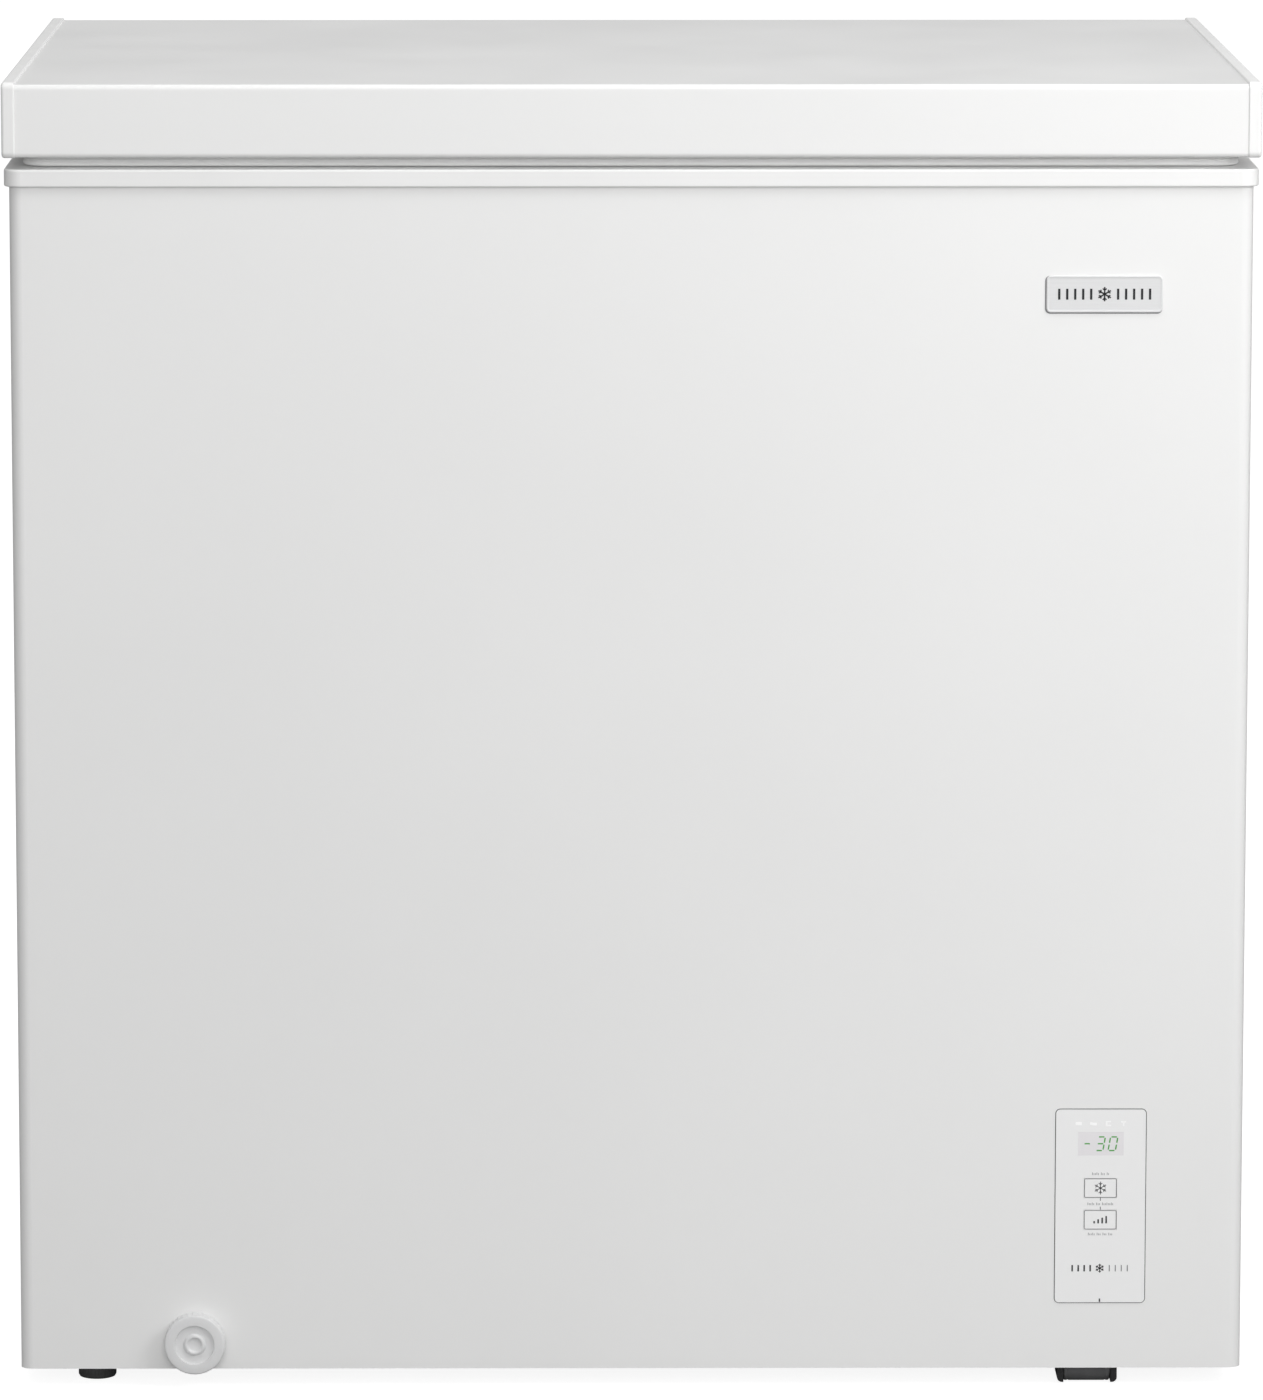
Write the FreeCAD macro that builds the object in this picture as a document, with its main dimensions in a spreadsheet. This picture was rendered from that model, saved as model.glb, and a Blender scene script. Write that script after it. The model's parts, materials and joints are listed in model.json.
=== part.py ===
"""Chest freezer: cabinet, hinged lid, machine bay, drain, controls, feet, rollers and a basket.

Millimetres, +Z up, front towards -Y. The origin is on the floor, in the middle of the footprint.
"""
import FreeCAD, Part
import os
import re
from math import sin, tan

import Sketcher
from FreeCAD import Placement, Rotation, Vector

# Driving dimensions: alias, value, meaning.
DRIVING = [
    # whole object
    ("total_height", 851, "floor to the top of the lid's end caps"),
    ("lid_width", 802, "over the lid's end caps"),
    ("lid_depth", 545, "front to back of the lid"),
    ("foot_height", 12.5, "floor to the cabinet's lower edge"),
    # how the cabinet sits under the lid
    ("side_step", 4, "lid end to cabinet side"),
    ("front_step", 4.5, "lid front to cabinet front"),
    ("back_step", 8.5, "lid back to cabinet back"),
    ("steel", 1, "painted sheet"),
    ("shell_corner", 8, "outer corner radius of the cabinet"),
    ("wall", 52, "insulated wall"),
    ("floor_wall", 60, "insulated floor"),
    ("pan_rise", 8.5, "cabinet's lower edge to the top of the base pan"),
    ("part_gap", 0.3, "clearance between pieces that only lie side by side"),
    ("over", 1, "how far a cutting solid runs past the face that it cuts"),
    # rim around the cabinet's mouth
    ("rim_height", 11.2, "visible height of the rim"),
    ("rim_proud", 3.3, "rim beyond the cabinet side"),
    ("rim_sheet", 3, "wall of the rim moulding"),
    ("rim_skirt", 27, "depth of the rim's inner skirt"),
    ("ledge_reach", 8, "basket ledge beyond the skirt"),
    # liner and machine bay
    ("liner_sheet", 1.2, "inner liner"),
    ("liner_corner", 20, "vertical corners of the liner"),
    ("bay_width", 206, "machine bay, measured in from the right side"),
    ("bay_top", 290, "floor to the machine bay's ceiling"),
    ("vent_sheet", 2, "grille and cover plates"),
    ("vent_slot", 5, "height of a vent slot"),
    ("vent_pitch", 14, "distance between vent slots"),
    ("vent_margin", 20, "solid border around the vent slots"),
    ("vent_lap", 8, "grille and cover over the edge of their openings"),
    ("grille_forward", 15, "side grille centre in front of the compressor"),
    ("grille_drop", 140, "side grille centre below the machine bay's ceiling"),
    ("grille_length", 190, "side grille, front to back"),
    ("grille_height", 170, "side grille"),
    ("cover_inset", 14, "rear cover opening in from the bay's walls"),
    ("gland_r", 8, "cord gland"),
    ("gland_bore", 4, "cord gland"),
    ("gland_flange", 10.5, "cord gland"),
    # lid
    ("lid_height", 48.4, "height of the end caps"),
    ("cap_width", 8.3, "width of an end cap"),
    ("cap_corner", 4, "rounded ends of a cap"),
    ("cap_proud", 1.5, "cap above the lid skin"),
    ("cap_front", 1, "cap in front of the lid skin"),
    ("skin_lift", 0.4, "cap's lower edge below the lid skin"),
    ("skin_corner", 3.5, "front and rear top bends of the lid skin"),
    ("skin_lip", 10, "return lip under the lid skin"),
    ("panel_sheet", 2, "lid's inner panel"),
    ("plug_drop", 12, "raised field of the inner panel"),
    ("plug_inset", 20, "raised field in from the liner"),
    ("plug_corner", 25, "corners of the raised field"),
    # seal between lid and rim
    ("seal_gap", 7.3, "end cap to rim"),
    ("seal_width", 14, "gasket"),
    ("seal_front", 19, "gasket behind the rim's front and back"),
    ("seal_side", 11, "gasket in from the rim's sides"),
    ("seal_corner", 12, "gasket corners"),
    ("rim_back_corner", 4, "rear corners of the rim"),
    ("rim_round", 1.2, "outer edges of the rim"),
    ("cap_round", 2, "outer edges of an end cap"),
    ("cap_inner_round", 0.8, "edges of an end cap beside the lid skin"),
    ("lip_bend", 3, "lower front bend of the lid skin"),
    # hinges
    ("hinge_reach", 11, "hinge knuckle behind the lid"),
    ("hinge_in", 147, "hinge centre in from the cabinet's side"),
    ("hinge_drop", 6.6, "hinge axis below the lid"),
    ("knuckle_r", 5.5, "hinge knuckle radius"),
    ("pin_r", 3, "hinge pin radius"),
    ("run_fit", 0.05, "radial clearance of a turning fit"),
    ("slide_fit", 0.1, "radial clearance of a sliding fit"),
    ("leaf_sheet", 2.5, "hinge plates"),
    ("leaf_half", 24, "half width of a hinge leaf"),
    ("leaf_height", 42, "height of a hinge leaf"),
    ("ear_in", 27, "inside face of a hinge ear"),
    ("ear_out", 30, "outside face of a hinge ear"),
    ("bracket_height", 40, "hinge bracket on the back panel"),
    ("bracket_drop", 2, "hinge bracket below the rim"),
    ("leaf_screw_rise", 25.2, "leaf screws above the leaf's lower edge"),
    ("pin_stub", 1, "hinge pin beyond the ears"),
    ("spring_start", 1, "hinge spring beside the knuckle"),
    ("screw_r", 2, "screw shank radius"),
    ("head_r", 4, "screw head radius"),
    ("head_height", 2.2, "screw head height"),
    # control panel
    ("panel_in", 92.3, "control panel centre in from the cabinet's right side"),
    ("panel_z", 120.1, "control panel centre above the floor"),
    ("fascia_width", 58.3, "control fascia"),
    ("fascia_height", 128, "control fascia"),
    ("fascia_corner", 2.8, "control fascia"),
    ("fascia_sheet", 3, "control fascia"),
    ("fascia_proud", 0.6, "fascia in front of the cabinet"),
    ("fascia_gap", 0.5, "gap around the fascia"),
    ("window_width", 29.6, "display window"),
    ("window_height", 15.6, "display window"),
    ("window_rise", 41.4, "display window above the panel centre"),
    ("key_width", 21, "key"),
    ("key_height", 12.7, "key"),
    ("key_upper", 12, "upper key above the panel centre"),
    ("key_lower", -9, "lower key from the panel centre"),
    ("key_gap", 0.2, "gap around a key"),
    ("key_travel", 0.5, "how far a key is pressed"),
    ("housing_depth", 30, "control housing behind the fascia"),
    ("housing_wall", 2, "control housing"),
    ("housing_in", 1, "housing in from the fascia's edges"),
    ("board_back", 14, "circuit board behind the cabinet front"),
    ("board_sheet", 1.6, "circuit board"),
    ("switch_height", 3.5, "key switch on the board"),
    ("switch_width", 6, "key switch on the board"),
    ("key_stem_r", 2, "stem behind a key"),
    ("loom_r", 3, "wires from the controls to the compressor"),
    ("loom_bend", 60, "bends of the wires"),
    ("loom_run", 70, "straight ends of the wires"),
    ("loom_rise", 60, "wires above the compressor's floor"),
    # badge
    ("badge_in", 95, "badge centre in from the cabinet's right side"),
    ("badge_drop", 135.7, "badge centre below the top of the lid"),
    ("badge_width", 74.2, "badge"),
    ("badge_height", 23.6, "badge"),
    ("badge_corner", 2.8, "badge"),
    ("badge_sheet", 1.5, "badge"),
    # drain
    ("drain_in", 113.6, "drain in from the cabinet's left side"),
    ("drain_z", 30.7, "drain outlet above the floor"),
    ("drain_back", 40, "floor drain behind the liner's front wall"),
    ("plug_r", 19.7, "drain plug"),
    ("plug_reach", 11.5, "drain plug in front of the cabinet"),
    ("plug_dish_r", 12.7, "dished centre of the drain plug"),
    ("plug_dish", 1.5, "depth of the dish"),
    ("plug_ring_r", 6.6, "ring in the dish"),
    ("plug_ring_in", 4.5, "ring in the dish"),
    ("spigot_r", 12, "drain collar bore"),
    ("spigot_length", 20, "drain plug inside the collar"),
    ("collar_r", 15, "drain collar"),
    ("collar_depth", 26, "drain collar"),
    ("collar_floor", 2, "inner end of the drain collar"),
    ("hose_r", 8, "drain tube"),
    ("hose_bore", 6.5, "drain tube"),
    ("hose_bend", 20, "drain tube"),
    ("stopper_r", 16, "floor drain stopper"),
    ("stopper_height", 5, "floor drain stopper"),
    ("stopper_chamfer", 2, "upper edge of the floor drain stopper"),
    # feet and rollers
    ("foot_side", 48, "levelling feet in from the cabinet's left side"),
    ("foot_in", 38.5, "front foot behind the lid front"),
    ("foot_r", 12.4, "levelling foot"),
    ("foot_disc", 9, "height of a foot's knurled disc"),
    ("foot_chamfer", 2, "lower edge of a foot, across"),
    ("foot_chamfer_rise", 1.5, "lower edge of a foot, upwards"),
    ("stem_r", 4, "foot stem"),
    ("stem_top", 38, "floor to the top of a foot's stem"),
    ("socket_r", 10, "foot socket"),
    ("socket_lift", 1, "foot's disc to its socket"),
    ("stem_room", 2, "free height over a foot's stem"),
    ("socket_top", 44, "floor to the top of a foot socket"),
    ("roller_side", 99.5, "rollers in from the cabinet's right side"),
    ("roller_in", 23.5, "front roller behind the lid front"),
    ("roller_r", 13, "roller"),
    ("roller_width", 30, "roller tread"),
    ("roof_gap", 1.5, "roller to the roof of its bracket"),
    ("roof_sheet", 3, "roof of the roller bracket"),
    ("yoke_short", 1, "roller bracket in from the front and back of its wheel"),
    ("cheek", 4.2, "roller bracket cheek"),
    ("cheek_lift", 1.2, "floor to the bracket's lower edge"),
    ("cheek_corner", 3.2, "lower corners of the roller bracket"),
    ("axle_r", 3, "roller axle"),
    # refrigeration
    ("comp_in", 104, "compressor in from the cabinet's right side"),
    ("comp_forward", 157, "compressor in front of the cabinet's back"),
    ("comp_r", 72, "compressor"),
    ("comp_height", 160, "compressor"),
    ("comp_shell", 3, "compressor"),
    ("comp_plate", 3, "compressor foot plate"),
    ("grommet_r", 9, "compressor grommet"),
    ("grommet_height", 10, "compressor grommet"),
    ("motor_r", 45, "motor and pump"),
    ("motor_height", 90, "motor and pump"),
    ("motor_lift", 20, "motor above the compressor's floor"),
    ("relay_width", 44, "relay cover"),
    ("relay_depth", 26, "relay cover"),
    ("relay_lift", 30, "relay cover above the compressor's floor"),
    ("relay_height", 55, "relay cover"),
    ("stub_length", 18, "tube stubs in front of the compressor"),
    ("stub_rise", 110, "tube stubs above the compressor's floor"),
    ("stub_share", 0.62, "tube stubs from the compressor's middle, as a share of its radius"),
    ("evap_r", 4, "evaporator tube"),
    ("evap_rise", 43, "lowest evaporator loop above the liner's step"),
    ("evap_pitch", 85, "between evaporator loops"),
    ("cond_r", 2.4, "condenser tube"),
    ("cond_rise", 50, "lowest condenser pass above the machine bay"),
    ("cond_pitch", 60, "between condenser passes"),
    ("evap_head", 40, "top evaporator loop below the rim's ledge, at least"),
    ("evap_jog", 14, "suction run outside the evaporator's side"),
    ("evap_cross", 50, "length of the jog to the suction run"),
    ("cond_head", 20, "top condenser pass below the rim, at least"),
    ("cond_in", 35, "condenser's right end in from the cabinet's side"),
    ("cond_return", 12, "condenser's return run in from the cabinet's side"),
    ("cond_left", 27, "condenser's left end in from the cabinet's side"),
    ("tube_drop", 15, "ends of the coils below the machine bay's ceiling"),
    ("tube_bend", 14, "bends of the tubes in the bay"),
    ("thin_bend", 12, "bends of the discharge tube"),
    ("liquid_forward", 245, "filter drier in front of the compressor"),
    ("suction_forward", 205, "suction run in front of the compressor"),
    ("suction_rise", 60, "suction run, from the stub up to the side wall"),
    ("discharge_out", 40, "discharge tube in front of its stub"),
    ("discharge_drop", 45, "discharge tube below the machine bay's ceiling"),
    ("discharge_turn", 60, "discharge tube's last run to the back"),
    ("capillary_r", 1.2, "capillary tube"),
    ("capillary_drop", 60, "capillary tube below the machine bay's ceiling"),
    ("drier_lift", 60, "filter drier above the base pan"),
    ("drier_dip", 25, "liquid tube below the filter drier"),
    ("drier_r", 9, "filter drier"),
    ("drier_length", 90, "filter drier"),
    ("drier_in", 175, "filter drier in from the cabinet's right side"),
    # basket
    ("basket_width", 280, "basket"),
    ("basket_depth", 210, "basket"),
    ("basket_gap", 12, "basket clear of the liner's left wall"),
    ("basket_wire", 3, "basket wire"),
    ("basket_mesh", 34, "between basket wires, about"),
    ("basket_frame", 4, "basket top frame"),
]

# Places worked out from the driving dimensions: name, expression.
DERIVED = [
    ("cabinet_half", "lid_width / 2 - side_step"),
    ("rim_half", "cabinet_half + rim_proud"),
    ("skin_half", "lid_width / 2 - cap_width"),
    ("lid_front", "(plug_reach - front_step - lid_depth - hinge_reach) / 2"),
    ("lid_back", "lid_front + lid_depth"),
    ("cabinet_front", "lid_front + front_step"),
    ("cabinet_back", "lid_back - back_step"),
    ("rim_front", "cabinet_front - rim_proud"),
    ("rim_back", "cabinet_back + rim_proud"),
    ("lid_bottom", "total_height - lid_height"),
    ("skin_bottom", "lid_bottom + skin_lift"),
    ("skin_top", "total_height - cap_proud"),
    ("skin_front", "lid_front + cap_front"),
    ("rim_top", "lid_bottom - seal_gap"),
    ("rim_bottom", "rim_top - rim_height"),
    ("shell_top", "rim_top - rim_sheet"),
    ("ledge_bottom", "rim_top - rim_skirt"),
    ("ledge_top", "ledge_bottom + rim_sheet"),
    ("pan_top", "foot_height + pan_rise"),
    ("liner_half", "cabinet_half - wall"),
    ("liner_front", "cabinet_front + wall"),
    ("liner_back", "cabinet_back - wall"),
    ("liner_floor", "pan_top + floor_wall"),
    ("bay_edge", "cabinet_half - bay_width"),
    ("step_edge", "bay_edge - wall"),
    ("step_top", "bay_top + wall"),
    ("hinge_x", "cabinet_half - hinge_in"),
    ("hinge_y", "lid_back + hinge_reach - knuckle_r"),
    ("hinge_z", "lid_bottom - hinge_drop"),
    ("panel_x", "cabinet_half - panel_in"),
    ("badge_x", "cabinet_half - badge_in"),
    ("badge_z", "total_height - badge_drop"),
    ("drain_x", "-cabinet_half + drain_in"),
    ("drain_y", "liner_front + drain_back"),
    ("foot_x", "-cabinet_half + foot_side"),
    ("foot_front", "lid_front + foot_in"),
    ("foot_rear", "lid_back - foot_in"),
    ("roller_x", "cabinet_half - roller_side"),
    ("roller_front_y", "lid_front + roller_in"),
    ("roller_rear_y", "cabinet_back - roller_in"),
    ("fascia_front", "cabinet_front - fascia_proud"),
    ("fascia_back", "fascia_front + fascia_sheet"),
    ("board_front", "cabinet_front + board_back"),
    ("switch_front", "board_front - switch_height"),
    ("comp_x", "cabinet_half - comp_in"),
    ("comp_y", "cabinet_back - comp_forward"),
    ("comp_base", "pan_top + grommet_height"),
    ("comp_bottom", "comp_base + comp_plate"),
    ("comp_top", "comp_bottom + comp_height"),
    ("grille_y", "comp_y - grille_forward"),
    ("grille_z", "bay_top - grille_drop"),
    ("drier_x", "cabinet_half - drier_in"),
    ("evap_low", "step_top + evap_rise"),
    ("cond_low", "bay_top + cond_rise"),
    ("roller_roof", "2 * roller_r + roof_gap"),
    ("basket_left", "-liner_half + ledge_reach + basket_gap"),
    ("basket_right", "basket_left + basket_width"),
    ("basket_front", "liner_front + ledge_reach + 4 * part_gap"),
    ("basket_back", "liner_back - ledge_reach - 4 * part_gap"),
    ("basket_seat", "ledge_top + part_gap"),
    ("basket_top", "basket_seat + basket_frame"),
    ("basket_floor", "basket_top - basket_depth"),
]

doc = FreeCAD.newDocument("chest_freezer")
doc.UndoMode = 0
sheet = doc.addObject("Spreadsheet::Sheet", "dims")
for row, (alias, number, meaning) in enumerate(DRIVING, start=1):
    sheet.set(f"A{row}", alias)
    sheet.set(f"B{row}", str(number))
    sheet.set(f"C{row}", meaning)
    sheet.setAlias(f"B{row}", alias)
doc.recompute()

layout = doc.addObject("App::VarSet", "layout")
DRIVING_NAMES = {alias for alias, _, _ in DRIVING}
DERIVED_NAMES = {name for name, _ in DERIVED}


def full(expression):
    """The expression with every name pointed at the object that holds it."""
    def point(match):
        word = match.group(0)
        if word in DRIVING_NAMES:
            return "dims." + word
        if word in DERIVED_NAMES:
            return "layout." + word
        return word
    return re.sub(r"[a-z][a-z_0-9]*", point, str(expression))


def value(expression):
    return float(layout.evalExpression(full(expression)))


for name, expression in DERIVED:
    layout.addProperty("App::PropertyFloat", name, "Places")
    layout.setExpression(name, full(expression))
doc.recompute()

NODES = []


def node(label, shape_object):
    """Marks an object as one of the freezer's pieces."""
    shape_object.Label = label
    NODES.append(shape_object)
    return shape_object


def tie(thing, prop, expression):
    thing.setExpression(prop, full(expression))


# ---------------------------------------------------------------- primitives

def box(x, y, z):
    """A box between two expressions along each axis."""
    solid = doc.addObject("Part::Box", "box")
    for axis, size, (low, high) in zip("xyz", ("Length", "Width", "Height"), (x, y, z)):
        tie(solid, "Placement.Base." + axis, low)
        tie(solid, size, f"({high}) - ({low})")
    return solid


AXIS_TURN = {
    "x": Rotation(Vector(0, 1, 0), 90),
    "y": Rotation(Vector(1, 0, 0), -90),
    "z": Rotation(),
}


def rod(axis, at, low, high, radius):
    """A cylinder along an axis; `at` holds the two other coordinates in x, y, z order."""
    solid = doc.addObject("Part::Cylinder", "rod")
    solid.Placement = Placement(Vector(), AXIS_TURN[axis])
    others = [letter for letter in "xyz" if letter != axis]
    for letter, expression in zip(others, at):
        tie(solid, "Placement.Base." + letter, expression)
    tie(solid, "Placement.Base." + axis, low)
    tie(solid, "Height", f"({high}) - ({low})")
    tie(solid, "Radius", radius)
    return solid


def joined(*parts):
    fuse = doc.addObject("Part::MultiFuse", "joined")
    fuse.Shapes = list(parts)
    fuse.Refine = True
    return fuse


def group(*parts):
    """Separate solids that share one node."""
    compound = doc.addObject("Part::Compound", "group")
    compound.Links = list(parts)
    return compound


def shared(first, second):
    """Only what lies in both."""
    common = doc.addObject("Part::Common", "shared")
    common.Base = first
    common.Tool = second
    return common


def cut(base, *tools):
    for tool in tools:
        result = doc.addObject("Part::Cut", "cut")
        result.Base = base
        result.Tool = tool
        base = result
    return base


# ---------------------------------------------------------------- sketched bodies

# Sketch plane -> role, the two drawn axes, the axis that the pad runs along and its sense.
PLANES = {
    "xy": ("XY_Plane", "z", 1),
    "xz": ("XZ_Plane", "y", -1),
    "yz": ("YZ_Plane", "x", 1),
}


def new_sketch(body, plane, offset):
    """A sketch on one of the body's origin planes, moved along its normal."""
    role, _, sense = PLANES[plane]
    sketch = body.newObject("Sketcher::SketchObject", "outline")
    support = [f for f in body.Origin.OriginFeatures if f.Role == role]
    sketch.AttachmentSupport = [(support[0], "")]
    sketch.MapMode = "FlatFace"
    tie(sketch, "AttachmentOffset.Base.z", f"({offset}) * {sense}")
    return sketch


def hold(sketch, kind, geometry, point, expression):
    """Ties one coordinate of a sketch point to an expression."""
    index = sketch.addConstraint(
        Sketcher.Constraint(kind, -1, 1, geometry, point, value(expression)))
    sketch.setExpression(f"Constraints[{index}]", full(expression))


def draw_polygon(sketch, corners):
    spots = [Vector(value(u), value(v), 0) for u, v in corners]
    count = len(spots)
    for index in range(count):
        sketch.addGeometry(Part.LineSegment(spots[index], spots[(index + 1) % count]), False)
    for index in range(count):
        sketch.addConstraint(Sketcher.Constraint("Coincident", index, 2, (index + 1) % count, 1))
    for index, (u, v) in enumerate(corners):
        hold(sketch, "DistanceX", index, 1, u)
        hold(sketch, "DistanceY", index, 1, v)


def pad(body, sketch, length):
    feature = body.newObject("PartDesign::Pad", "pad")
    feature.Profile = sketch
    tie(feature, "Length", length)
    return feature


def prism(plane, corners, low, high):
    """A polygon padded between two expressions along the plane's normal."""
    body = doc.addObject("PartDesign::Body", "prism")
    start = high if PLANES[plane][2] < 0 else low
    sketch = new_sketch(body, plane, start)
    draw_polygon(sketch, corners)
    pad(body, sketch, f"({high}) - ({low})")
    return body


def rectangle(u, v):
    return [(u[0], v[0]), (u[1], v[0]), (u[1], v[1]), (u[0], v[1])]


def rounded(body, radius, wanted):
    """Fillets the body's edges that `wanted` picks, and returns the body."""
    doc.recompute()
    tip = body.Tip
    names = [f"Edge{i}" for i, edge in enumerate(tip.Shape.Edges, start=1) if wanted(edge)]
    if not names:
        raise ValueError("no edge to round on " + body.Label)
    fillet = body.newObject("PartDesign::Fillet", "rounding")
    fillet.Base = (tip, names)
    tie(fillet, "Radius", radius)
    return body


def along(axis):
    """Picks the straight edges that run along an axis."""
    direction = {"x": Vector(1, 0, 0), "y": Vector(0, 1, 0), "z": Vector(0, 0, 1)}[axis]

    def wanted(edge):
        if edge.Curve.TypeId != "Part::GeomLine":
            return False
        return edge.Curve.Direction.cross(direction).Length < 1e-6
    return wanted


def along_at(axis, **limits):
    """Picks edges along an axis that lie at the given coordinates."""
    straight = along(axis)

    def wanted(edge):
        middle = edge.CenterOfMass
        close = all(
            any(abs(getattr(middle, letter) - value(spot)) < 0.01 for spot in spots)
            for letter, spots in limits.items())
        return straight(edge) and close
    return wanted


def lying_at(axis, *spots):
    """Picks every edge that lies in one of the planes at these coordinates."""
    levels = [value(spot) for spot in spots]

    def wanted(edge):
        box_low, box_high = (getattr(edge.BoundBox, axis.upper() + end) for end in ("Min", "Max"))
        return box_high - box_low < 0.01 and any(abs(box_low - level) < 0.01 for level in levels)
    return wanted


def slab(x, y, z, corner):
    """A box with rounded vertical edges."""
    return rounded(prism("xy", rectangle(x, y), *z), corner, along("z"))


def plate(x, z, y, corner):
    """A flat plate facing the front, with rounded corners."""
    return rounded(prism("xz", rectangle(x, z), *y), corner, along("y"))


def turned(plane, corners, axis, at):
    """A profile turned about a vertical or front-to-back axis through `at`.

    The profile is drawn as (radius, height) pairs; `at` moves the finished body.
    """
    body = doc.addObject("PartDesign::Body", "turned")
    sketch = new_sketch(body, plane, "0")
    draw_polygon(sketch, corners)
    feature = body.newObject("PartDesign::Revolution", "turn")
    feature.Profile = sketch
    feature.ReferenceAxis = (sketch, [axis])
    feature.Angle = 360
    for letter, expression in zip("xyz", at):
        tie(body, "Placement.Base." + letter, expression)
    return body


def upright(corners, at):
    """(radius, height) pairs turned about +Z."""
    return turned("xz", corners, "V_Axis", at)


def facing(corners, at):
    """(distance behind the front, radius) pairs turned about +Y."""
    swapped = [(radius, depth) for depth, radius in corners]
    return turned("xy", swapped, "V_Axis", at)


def tube_path(points, bend):
    """A wire of straight runs joined by tangent arcs of one radius."""
    edges = []
    start = points[0]
    for before, corner, after in zip(points, points[1:], points[2:]):
        inward = (before - corner).normalize()
        outward = (after - corner).normalize()
        half = inward.getAngle(outward) / 2
        reach = bend / tan(half)
        first = corner + inward * reach
        last = corner + outward * reach
        bisector = (inward + outward).normalize()
        centre = corner + bisector * (bend / sin(half))
        middle = centre - bisector * bend
        edges.append(Part.LineSegment(start, first).toShape())
        edges.append(Part.Arc(first, middle, last).toShape())
        start = last
    edges.append(Part.LineSegment(start, points[-1]).toShape())
    return Part.Wire(edges)


def tube(places, bend, radius, bore=None):
    """A round tube along a bent path, hollow when a bore is given."""
    points = [Vector(*(value(part) for part in place)) for place in places]
    path = tube_path(points, value(bend))
    start = (points[1] - points[0]).normalize()

    def sweep(r):
        ring = Part.Wire([Part.Circle(points[0], start, r).toShape()])
        return path.makePipeShell([ring], True, False)
    shape = sweep(value(radius))
    if bore is not None:
        shape = shape.cut(sweep(value(bore)))
    feature = doc.addObject("Part::Feature", "tube")
    feature.Shape = shape
    return feature


# ---------------------------------------------------------------- cabinet

def sheet_corners(inset):
    """U-shaped wrapper outline at a distance inside the cabinet's faces, left rear to right rear."""
    return [
        (f"-cabinet_half + {inset}", "cabinet_back"),
        (f"-cabinet_half + {inset}", f"cabinet_front + {inset}"),
        (f"cabinet_half - {inset}", f"cabinet_front + {inset}"),
        (f"cabinet_half - {inset}", "cabinet_back"),
    ]


def build_wrapper():
    outline = sheet_corners("0") + sheet_corners("steel")[::-1]
    wrapper = prism("xy", outline, "foot_height", "shell_top")
    rounded(wrapper, "shell_corner", along_at("z", x=["-cabinet_half", "cabinet_half"],
                                              y=["cabinet_front"]))
    return rounded(wrapper, "shell_corner - steel",
                   along_at("z", x=["-cabinet_half + steel", "cabinet_half - steel"],
                            y=["cabinet_front + steel"]))


INSIDE_X = ("-cabinet_half + steel", "cabinet_half - steel")
INSIDE_Y = ("cabinet_front + steel", "cabinet_back - steel")
THROUGH_FRONT = ("cabinet_front - 2 * steel", "cabinet_front + 3 * steel")
THROUGH_BACK = ("cabinet_back - 3 * steel", "cabinet_back + 2 * vent_sheet")


def around(centre, size, extra="0"):
    """Low and high expressions of a size about a centre, grown by `extra` on both sides."""
    return (f"{centre} - ({size}) / 2 - ({extra})", f"{centre} + ({size}) / 2 + ({extra})")


def inside_block(z):
    """The space inside the painted wrapper and the back panel."""
    block = prism("xy", rectangle(INSIDE_X, INSIDE_Y), *z)
    return rounded(block, "shell_corner - steel", along_at("z", y=["cabinet_front + steel"]))


wrapper = build_wrapper()
drain_hole = rod("y", ("drain_x", "drain_z"), "cabinet_front - over",
                 "cabinet_front + collar_depth", "collar_r")
panel_hole = plate(around("panel_x", "fascia_width", "fascia_gap"),
                   around("panel_z", "fascia_height", "fascia_gap"), THROUGH_FRONT,
                   "fascia_corner + fascia_gap")
grille_hole = box(("cabinet_half - 3 * steel", "cabinet_half + steel"),
                  around("grille_y", "grille_length", "-vent_lap"),
                  around("grille_z", "grille_height", "-vent_lap"))
node("outer_shell", cut(wrapper, drain_hole, panel_hole, grille_hole))

# rear cover over the machine bay
COVER_X = ("bay_edge + cover_inset", "cabinet_half - cover_inset")
COVER_Z = ("pan_top + cover_inset", "bay_top - cover_inset")
GLAND_X = "bay_edge + cover_inset + 2 * vent_margin"
GLAND_Z = "pan_top + cover_inset + 1.4 * vent_margin"
cover_opening = box((COVER_X[0] + " + vent_lap", COVER_X[1] + " - vent_lap"), THROUGH_BACK,
                    (COVER_Z[0] + " + vent_lap", COVER_Z[1] + " - vent_lap"))


def screw(x, z, start, depth):
    """Pan-head screw driven forwards, its head seated at `start`; returns screw and hole."""
    shank = rod("y", (x, z), f"{start} - ({depth})", start, "screw_r")
    head = rod("y", (x, z), start, f"{start} + head_height", "head_r")
    return joined(shank, head), shank


cover_screws = [
    screw(x, z, "cabinet_back + vent_sheet", "vent_sheet + steel")
    for x in (COVER_X[0] + " + vent_lap / 2", COVER_X[1] + " - vent_lap / 2")
    for z in (COVER_Z[0] + " + vent_margin", COVER_Z[1] + " - vent_margin")
]
cover_holes = group(*[hole for _, hole in cover_screws])
node("cover_screws", group(*[body for body, _ in cover_screws]))


def slots(count, make):
    return group(*[make(index) for index in range(count)])


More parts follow.
